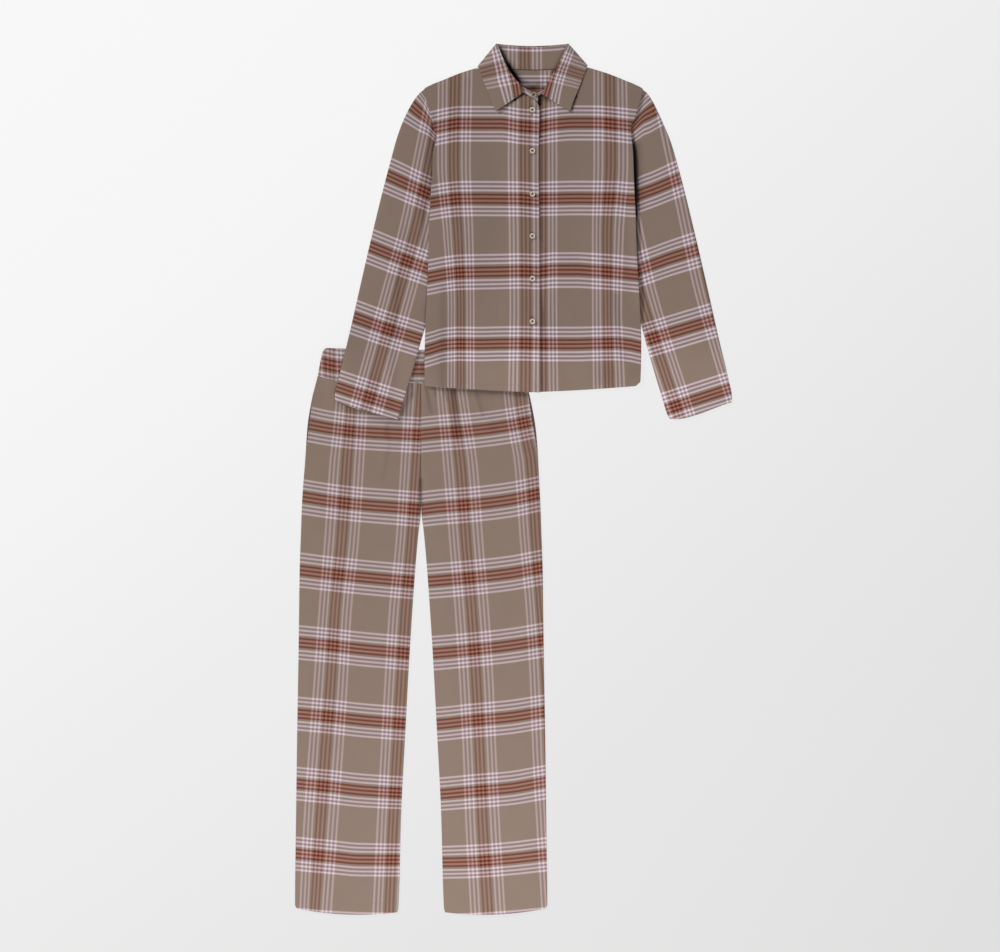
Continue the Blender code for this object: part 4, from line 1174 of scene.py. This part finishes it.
def collar_sections(right, left, creases, depth, back_level, bulge):
    """All sections of a band, and the number at which each part ends."""
    lower = level_height(back_level)
    parts = [front_part(right), crease_part(creases[0], lower, level_height(right[-1][-1]), -1, bulge),
             back_part(creases, BACK_STEPS, BACK_NECK_SAG, depth, back_level),
             crease_part(creases[1], lower, level_height(left[-1][-1]), 1, bulge)[::-1],
             front_part(left)[::-1]]
    return np.concatenate(parts), np.cumsum([len(part) for part in parts])


def standing_up(sections, t):
    """How far a band's fold stands above the flat: most beside the neck's opening, and more
    on the right, which lies over the left."""
    x, y = sections[:, :1, 0], sections[:, :1, 1]
    side = np.where(x < SHIRT_AXIS, FOLD_RISE[RIGHT], FOLD_RISE[LEFT])
    along = np.clip((y - FOLD_FRONT) / FOLD_EASE, 0, 1) * np.clip((FOLD_BACK - y) / FOLD_EASE, 0.45, 1)
    return side * along * (1 - t) ** 1.5


def collar_band(name, sections, lift, across, coordinates):
    """One band of the collar, and its upper surface."""
    fold, edge, out = (sections[:, None, start:start + 3] for start in (0, 3, 6))
    t = across[None, :, None]
    line = fold * (1 - t) + edge * t + out * np.maximum(out[..., 2:], 0) * lift(across)[None, :, None]
    line[..., 2] += standing_up(fold, across[None, :]) * np.clip(out[..., 2] * 1.2 + 0.2, 0, 1)
    upper, lower = line + out * WALL / 2, line - out * WALL / 2
    values = coordinates(line)
    # Painted shade inside the neck, on the parts of the band that do not face up.
    tone = soft_lines(line[..., :2], NECK_PAINTED_SHADE) * (out[..., 2] < 0.1)
    values = np.concatenate((values, tone[..., None]), axis=-1)
    obj = wall(name + "_cloth", upper, lower, values, [name], SHIRT_FLANNEL)
    return obj, upper


SEEN_CREASE = 8          # sections round a crease that still follow the front's lines
BACK_GROUND = 48.0       # along the sett, from the coloured lines to the plain ground


def collar_coordinates(line, warp, weft, ends):
    """Cloth coordinates on a collar: from the stripe tables on the two fronts, and run on
    from them round the back."""
    out = np.zeros(line.shape[:2] + (2,))
    first, last = ends[0] + SEEN_CREASE, ends[3] - SEEN_CREASE
    for side, part in ((RIGHT, slice(0, first)), (LEFT, slice(last, None))):
        plan = line[part, :, :2]
        out[part] = np.stack((follow(plan, 0, warp[side]), follow(plan, 1, weft[side])), axis=-1)
    run = np.linalg.norm(np.diff(line[first - 1:last + 1], axis=0), axis=2)
    run = np.concatenate((np.zeros((1, line.shape[1])), np.cumsum(run, axis=0)))
    share = (run / run[-1:])[..., None]
    start, end = out[first - 1], out[last].copy()
    total = run[-1].mean()
    end[:, 0] += REPEAT * round((start[:, 0].mean() + total - end[:, 0].mean()) / REPEAT)
    out[first - 1:last + 1] = start[None] * (1 - share) + end[None] * share
    out[last:, :, 0] += end[:, 0].mean() - out[last, :, 0].mean()
    out[first:last, :, 1] += BACK_GROUND * np.clip(6 * share[1:-1] * (1 - share[1:-1]), 0, 1)[..., 0]
    return out


FALL_WEFT = {
    RIGHT: lines_at((696.0, 716.0, 734.0, 755.0, 775.0), (-30.0, -17.1, -23.0, -28.5, -32.4, -36.8),
                    (-15.0, -2.6, -6.2, -11.0, -16.0, -22.3), (0.0, 8.5, 5.6, 2.2, -3.6, -10.5)),
    LEFT: lines_at((670.0, 708.0, 744.0, 780.0), (0.0, 45.0, 57.0, 68.5, 81.0),
                   (15.5, 65.0, 71.0, 80.5, 95.0), (31.0, 79.0, 85.0, 94.5, 107.0)),
}
FALL_WARP = {
    RIGHT: lines_at((-60.0, -20.0), (-31.5, 715.0, 722.0), (0.0, 747.0, 757.0), (31.5, 779.0, 792.0)),
    LEFT: lines_at((90.0, 130.0), (-31.5, 725.0, 715.0), (0.0, 753.5, 741.5), (31.5, 787.0, 771.5)),
}
STAND_WARP_GROUP = 19.7
STAND_TOP_LINE = 23.5
STAND_FRONT = 745.0      # the stand's front ends below this are cut from plain ground


def stand_coordinates(line):
    """Cloth coordinates on the stand, which is cut along its length."""
    warp = np.where(line[..., 1] < STAND_FRONT, BACK_GROUND, line[..., 0] - STAND_WARP_GROUP)
    run = np.linalg.norm(np.diff(line, axis=1), axis=2)
    depth = np.concatenate((np.zeros((len(line), 1)), np.cumsum(run, axis=1)), axis=1)
    return np.stack((warp, depth + STAND_TOP_LINE), axis=-1)


def fall_lift(t):
    """How far the fall bulges between its fold and its edge."""
    near = -0.5 + 1.25 * np.sin(math.pi / 2 * np.clip(t / 0.1, 0, 1))
    far = 0.75 * np.cos(math.pi / 2 * np.clip((t - 0.1) / 0.9, 0, 1)) ** 0.8
    return np.where(t < 0.1, near, far)


stand_sections = collar_sections(STAND_RIGHT, STAND_LEFT, STAND_CREASES, STAND_BACK_REACH, 1.0, 0.3)[0]
stand = collar_band("collar_stand", stand_sections, lambda t: 0 * t, shares(STAND_BACK_REACH, 3.5),
                    stand_coordinates)[0]
fall_sections, fall_ends = collar_sections(FALL_RIGHT, FALL_LEFT, FALL_CREASES, FALL_BACK_REACH, 0.0, 1.0)
fall, fall_top = collar_band("collar_fall", fall_sections, fall_lift, shares(FALL_BACK_REACH, 3.0),
                             lambda line: collar_coordinates(line, FALL_WARP, FALL_WEFT, fall_ends))

# %% [markdown]
# ## Buttons
# Small turned buttons with a raised rim and a dished middle. They are sewn on with four
# strands of brown thread, which fill the dish. One button starts as a cylinder, whose top is
# inset for the rim and inset again, downwards, for the dish. It is then copied.

# %% Button materials
def plain(name, colour, roughness, specular=0.5):
    """A material of one slightly uneven colour."""
    material, tree, shader = material_nodes(name)
    place = tree.nodes.new("ShaderNodeTexCoord")
    speckle = noise(tree, place.outputs["Object"], 420.0, 4.0)
    darker = tuple(0.82 * value for value in colour)
    tree.links.new(ramp(tree, speckle, [(0.3, darker), (0.7, colour)]), shader.inputs["Base Color"])
    shader.inputs["Roughness"].default_value = roughness
    shader.inputs["Specular IOR Level"].default_value = specular
    return material


SHELL = plain("cream_button", (0.72, 0.64, 0.54), 0.35)
BUTTON_THREAD = plain("brown_thread", (0.13, 0.085, 0.065), 0.8, 0.2)
# Painted shade: the stand's button is the cream button darkened, for the collar's shadow on it.
SHELL_IN_PAINTED_SHADE = plain("cream_button_painted_shade", (0.33, 0.26, 0.20), 0.4)
SEWING_THREAD = plain("beige_thread", (0.30, 0.235, 0.195), 0.8, 0.2)
HOLE_THREAD = plain("dark_beige_thread", (0.17, 0.13, 0.108), 0.85, 0.2)

# %% One button
BUTTON_RADIUS, BUTTON_DEPTH = 4.9, 2.05
RIM_WIDTH, RIM_SLOPE, DISH_DEPTH = 1.0, 0.7, 1.1
AROUND = 40
ROUNDING = 0.38


def select_only_top(obj):
    """In edit mode, select the faces that look up."""
    bpy.context.tool_settings.mesh_select_mode = (False, False, True)
    bpy.ops.mesh.select_all(action="DESELECT")
    work = bmesh.from_edit_mesh(obj.data)
    for face in work.faces:
        face.select_set(face.normal.z > 0.9)
    bmesh.update_edit_mesh(obj.data)


bpy.ops.object.select_all(action="DESELECT")
bpy.ops.mesh.primitive_cylinder_add(vertices=AROUND, radius=BUTTON_RADIUS * MM, depth=BUTTON_DEPTH * MM,
                                    location=(0, 0, BUTTON_DEPTH / 2 * MM))
bpy.ops.object.transform_apply(location=True)
one_button = bpy.context.active_object
bpy.ops.object.mode_set(mode="EDIT")
select_only_top(one_button)
bpy.ops.mesh.inset(thickness=RIM_WIDTH * MM)
bpy.ops.mesh.inset(thickness=RIM_SLOPE * MM, depth=-DISH_DEPTH * MM)
bpy.ops.object.mode_set(mode="OBJECT")
rounded = one_button.modifiers.new("rounded", "BEVEL")
rounded.width = ROUNDING * MM
rounded.segments = 3
rounded.limit_method = "ANGLE"
rounded.angle_limit = math.radians(25)
bpy.ops.object.modifier_apply(modifier="rounded")
bpy.ops.object.shade_smooth()
print("one button has", len(one_button.data.polygons), "faces")

# %% The thread through a button
STRAND_LENGTH, STRAND_RADIUS, STRAND_TURN = 4.2, 0.42, 0.5
STRAND_FLATNESS = 0.36

bpy.ops.object.select_all(action="DESELECT")
strands = []
for reach in (-1.25, -0.65, 0.65, 1.25):
    spot = (-reach * math.sin(STRAND_TURN) * MM, reach * math.cos(STRAND_TURN) * MM, 0)
    bpy.ops.mesh.primitive_torus_add(major_radius=STRAND_LENGTH / 2 * MM, minor_radius=STRAND_RADIUS * MM,
                                     major_segments=16, minor_segments=6, location=spot,
                                     rotation=(math.pi / 2, 0, STRAND_TURN))
    bpy.ops.object.transform_apply(location=True, rotation=True)
    strands.append(bpy.context.active_object)
for strand in strands:
    strand.select_set(True)
bpy.ops.object.join()
one_thread = bpy.context.active_object
bpy.ops.object.mode_set(mode="EDIT")
bpy.ops.mesh.select_all(action="SELECT")
bpy.ops.transform.resize(value=(1, 1, STRAND_FLATNESS))
bpy.ops.transform.translate(value=(0, 0, (BUTTON_DEPTH - DISH_DEPTH) * MM))
bpy.ops.object.mode_set(mode="OBJECT")
bpy.ops.object.shade_smooth()
print("its thread has", len(one_thread.data.polygons), "faces")

# %% Seven buttons
BUTTON_HEIGHTS = (679.0, 603.5, 524.0, 447.0, 368.5, 289.5)
STAND_BUTTON = (36.4, 706.7)


def copy_to(model, name, place, material):
    """A copy of a model with a mesh of its own, moved to its place."""
    mesh = model.data.copy()
    mesh.transform(Matrix.Translation(Vector(place) * MM))
    mesh.materials.append(material)
    obj = bpy.data.objects.new(name, mesh)
    bpy.context.collection.objects.link(obj)
    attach(obj, "root")
    return obj


places = [(f"button_{index + 1}", BUTTON_LINE, height) for index, height in enumerate(BUTTON_HEIGHTS)]
places.append(("button_stand", *STAND_BUTTON))
for name, x, y in places:
    place = (x, y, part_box(name)[0][2] / MM)
    disc = copy_to(one_button, name + "_shell", place, SHELL_IN_PAINTED_SHADE if name == "button_stand" else SHELL)
    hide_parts(name)
    thread = copy_to(one_thread, name + "_thread", place, BUTTON_THREAD)
for model in (one_button, one_thread):
    bpy.data.objects.remove(model)
print(len(places), "buttons")

# %% [markdown]
# ## Buttonholes
# Each buttonhole is a narrow ring of close stitches; the slit inside it is not cut. On the
# placket they run up and down. A ring of thread is laid on the cloth under each button, which
# covers most of it.

# %% Buttonholes
HOLE_LENGTH, HOLE_WIDTH = 19.0, 1.9
HOLE_SHIFT = 1.5         # the button sits above the middle of its hole
HOLE_INSET = 1.2         # and a little to the left of it
HOLE_POINTS, HOLE_STITCHES = 44, 22
HOLE_LIFT, HOLE_THREAD_RADIUS = 0.12, 0.42


def thread_loop(path, radius, around=6):
    """A closed tube of thread through the points of a ring."""
    path = np.array(path)
    count = len(path)
    forward = np.roll(path, -1, axis=0) - np.roll(path, 1, axis=0)
    forward /= np.linalg.norm(forward, axis=1)[:, None]
    side = np.cross(forward, (0, 0, 1.0))
    side /= np.linalg.norm(side, axis=1)[:, None]
    up = np.cross(side, forward)
    angles = 2 * math.pi * np.arange(around) / around
    points = (path[:, None, :] + radius * (np.cos(angles)[None, :, None] * side[:, None, :]
                                           + np.sin(angles)[None, :, None] * up[:, None, :]))
    faces = []
    for ring in range(count):
        for step in range(around):
            after = (step + 1) % around
            following = (ring + 1) % count
            faces.append((ring * around + step, ring * around + after,
                          following * around + after, following * around + step))
    return points.reshape(-1, 3), faces


def buttonhole(name, x, y, surface, turn):
    """A ring of thread, laid on the cloth below, with no slit inside."""
    angles = 2 * math.pi * np.arange(HOLE_POINTS) / HOLE_POINTS
    wave = 1 + 0.12 * np.cos(HOLE_STITCHES * angles)
    along = HOLE_LENGTH / 2 * np.sign(np.cos(angles)) * np.abs(np.cos(angles)) ** 0.8
    over = HOLE_WIDTH / 2 * np.sin(angles) * wave
    ring = np.stack((x + along * math.cos(turn) - over * math.sin(turn),
                     y + along * math.sin(turn) + over * math.cos(turn)), axis=1)
    height = seen_height(surface, ring[None])[0] + HOLE_LIFT
    points, faces = thread_loop(np.column_stack((ring, height)), HOLE_THREAD_RADIUS)
    hole = add_piece(name, points, faces, HOLE_THREAD)


placket = tree_of(bpy.data.objects["shirt_front_right_cloth"])
for index, y in enumerate(BUTTON_HEIGHTS):
    buttonhole(f"buttonhole_{index + 1}", BUTTON_LINE - HOLE_INSET, y - HOLE_SHIFT, placket, math.pi / 2)
print(len(BUTTON_HEIGHTS), "buttonholes")

# %% [markdown]
# ## Stitching
# Hems, cuffs, collar, placket, pockets and waistband are topstitched. A line of stitches
# follows the cloth's own grid at a fixed distance from an edge. One stitch is a small
# capsule of thread with few faces, since there are more than a thousand of them.

# %% Stitching
STITCH_PITCH, STITCH_LENGTH, STITCH_RADIUS = 3.3, 2.5, 0.24
# share of half the length, share of the radius
CAPSULE = ((-1.0, 0.25), (-0.75, 0.9), (0.0, 1.0), (0.75, 0.9), (1.0, 0.25))
CAPSULE_SIDES = 5
# Distances of the stitch lines from their edges
POCKET_LINES, PLACKET_LINES, BAND_LINES = (2.5, 8.5), (2.5, 27.0), (3.0, 16.0, 32.0)
CUFF_LINE, SHIRT_HEM_LINE, COLLAR_LINE = 21.0, 11.0, 5.0


def at_distance(surface, from_edge, distance, along_rows):
    """The line of surface points at a distance from one side of a grid of cloth."""
    if not along_rows:
        surface, from_edge = np.swapaxes(surface, 0, 1), from_edge.T
    if from_edge[0, 0] > from_edge[-1, 0]:
        surface, from_edge = surface[::-1], from_edge[::-1]
    return np.array([[np.interp(distance, from_edge[:, column], surface[:, column, axis])
                      for axis in range(3)] for column in range(surface.shape[1])])


def stitches(name, *paths):
    """Capsules of thread, end to end along paths on the cloth."""
    points, faces = [], []
    ring = 2 * math.pi * np.arange(CAPSULE_SIDES) / CAPSULE_SIDES
    for path in paths:
        run = np.concatenate(([0.0], np.cumsum(np.linalg.norm(np.diff(path, axis=0), axis=1))))
        for middle in np.arange(STITCH_PITCH, run[-1] - STITCH_PITCH, STITCH_PITCH):
            ends = [np.array([np.interp(middle + way * STITCH_LENGTH / 2, run, path[:, axis])
                              for axis in range(3)]) for way in (-1, 1)]
            forward = (ends[1] - ends[0]) / np.linalg.norm(ends[1] - ends[0])
            side = np.cross(forward, (0, 0, 1.0))
            side /= np.linalg.norm(side)
            up = np.cross(side, forward)
            first = len(points)
            for share, thick in CAPSULE:
                centre = (ends[0] + ends[1]) / 2 + forward * share * STITCH_LENGTH / 2
                for angle in ring:
                    away = math.cos(angle) * side + math.sin(angle) * up
                    points.append(centre + STITCH_RADIUS * thick * away)
            for row in range(len(CAPSULE) - 1):
                low = first + row * CAPSULE_SIDES
                for step in range(CAPSULE_SIDES):
                    a, b = low + step, low + (step + 1) % CAPSULE_SIDES
                    faces.append((a, b, b + CAPSULE_SIDES, a + CAPSULE_SIDES))
            faces.append(tuple(range(first + CAPSULE_SIDES - 1, first - 1, -1)))
            last = first + (len(CAPSULE) - 1) * CAPSULE_SIDES
            faces.append(tuple(range(last, last + CAPSULE_SIDES)))
    thread = add_piece(name, points, faces, SEWING_THREAD)
    print(name, len(faces) // (4 * CAPSULE_SIDES + 2), "stitches")


def between(path, axis, low, high):
    """The part of a path whose X (0) or Y (1) lies within bounds."""
    return path[(path[:, axis] > low) & (path[:, axis] < high)]


def edges_of(surface):
    """Distances of surface points from the four sides of their grid."""
    return toward_edge(surface[..., :2])


for side in (RIGHT, LEFT):
    label = SIDE_NAMES[side]
    leg = leg_fronts[side]
    from_hem, _, from_side, _ = edges_of(leg)
    stitches("leg_hem_stitches_" + label, at_distance(leg, from_hem, HEM_TURN - 2, True))
    mouths = [between(at_distance(leg, from_side, distance, False), 1, POCKET_END - 6, POCKET_TOP + 6)
              for distance in POCKET_LINES]
    stitches("pocket_stitches_" + label, *mouths)
    sleeve = sleeve_tops[side]
    stitches("cuff_stitches_" + label, at_distance(sleeve, edges_of(sleeve)[1], CUFF_LINE, True))
    body = front_tops[side]
    from_hem, _, _, from_middle = edges_of(body)
    lines = [between(at_distance(body, from_hem, SHIRT_HEM_LINE, True), 0, -170, 250)]
    if side == RIGHT:
        lines += [between(at_distance(body, from_middle, distance, False), 1, 165, 690)
                  for distance in PLACKET_LINES]
    stitches("shirt_stitches_" + label, *lines)
from_low = edges_of(band_top)[0]
stitches("waistband_stitches", *(at_distance(band_top, from_low, distance, True) for distance in BAND_LINES))
from_right, from_left, _, from_edge = edges_of(fall_top)
front_parts = (slice(0, fall_ends[0]), slice(fall_ends[3], None))
stitches("collar_stitches",
         *(between(at_distance(fall_top[part], from_edge[part], COLLAR_LINE, False), 1, 680, 745)
           for part in front_parts),
         *(at_distance(fall_top, from_end, COLLAR_LINE, True)[3:-3] for from_end in (from_right, from_left)))
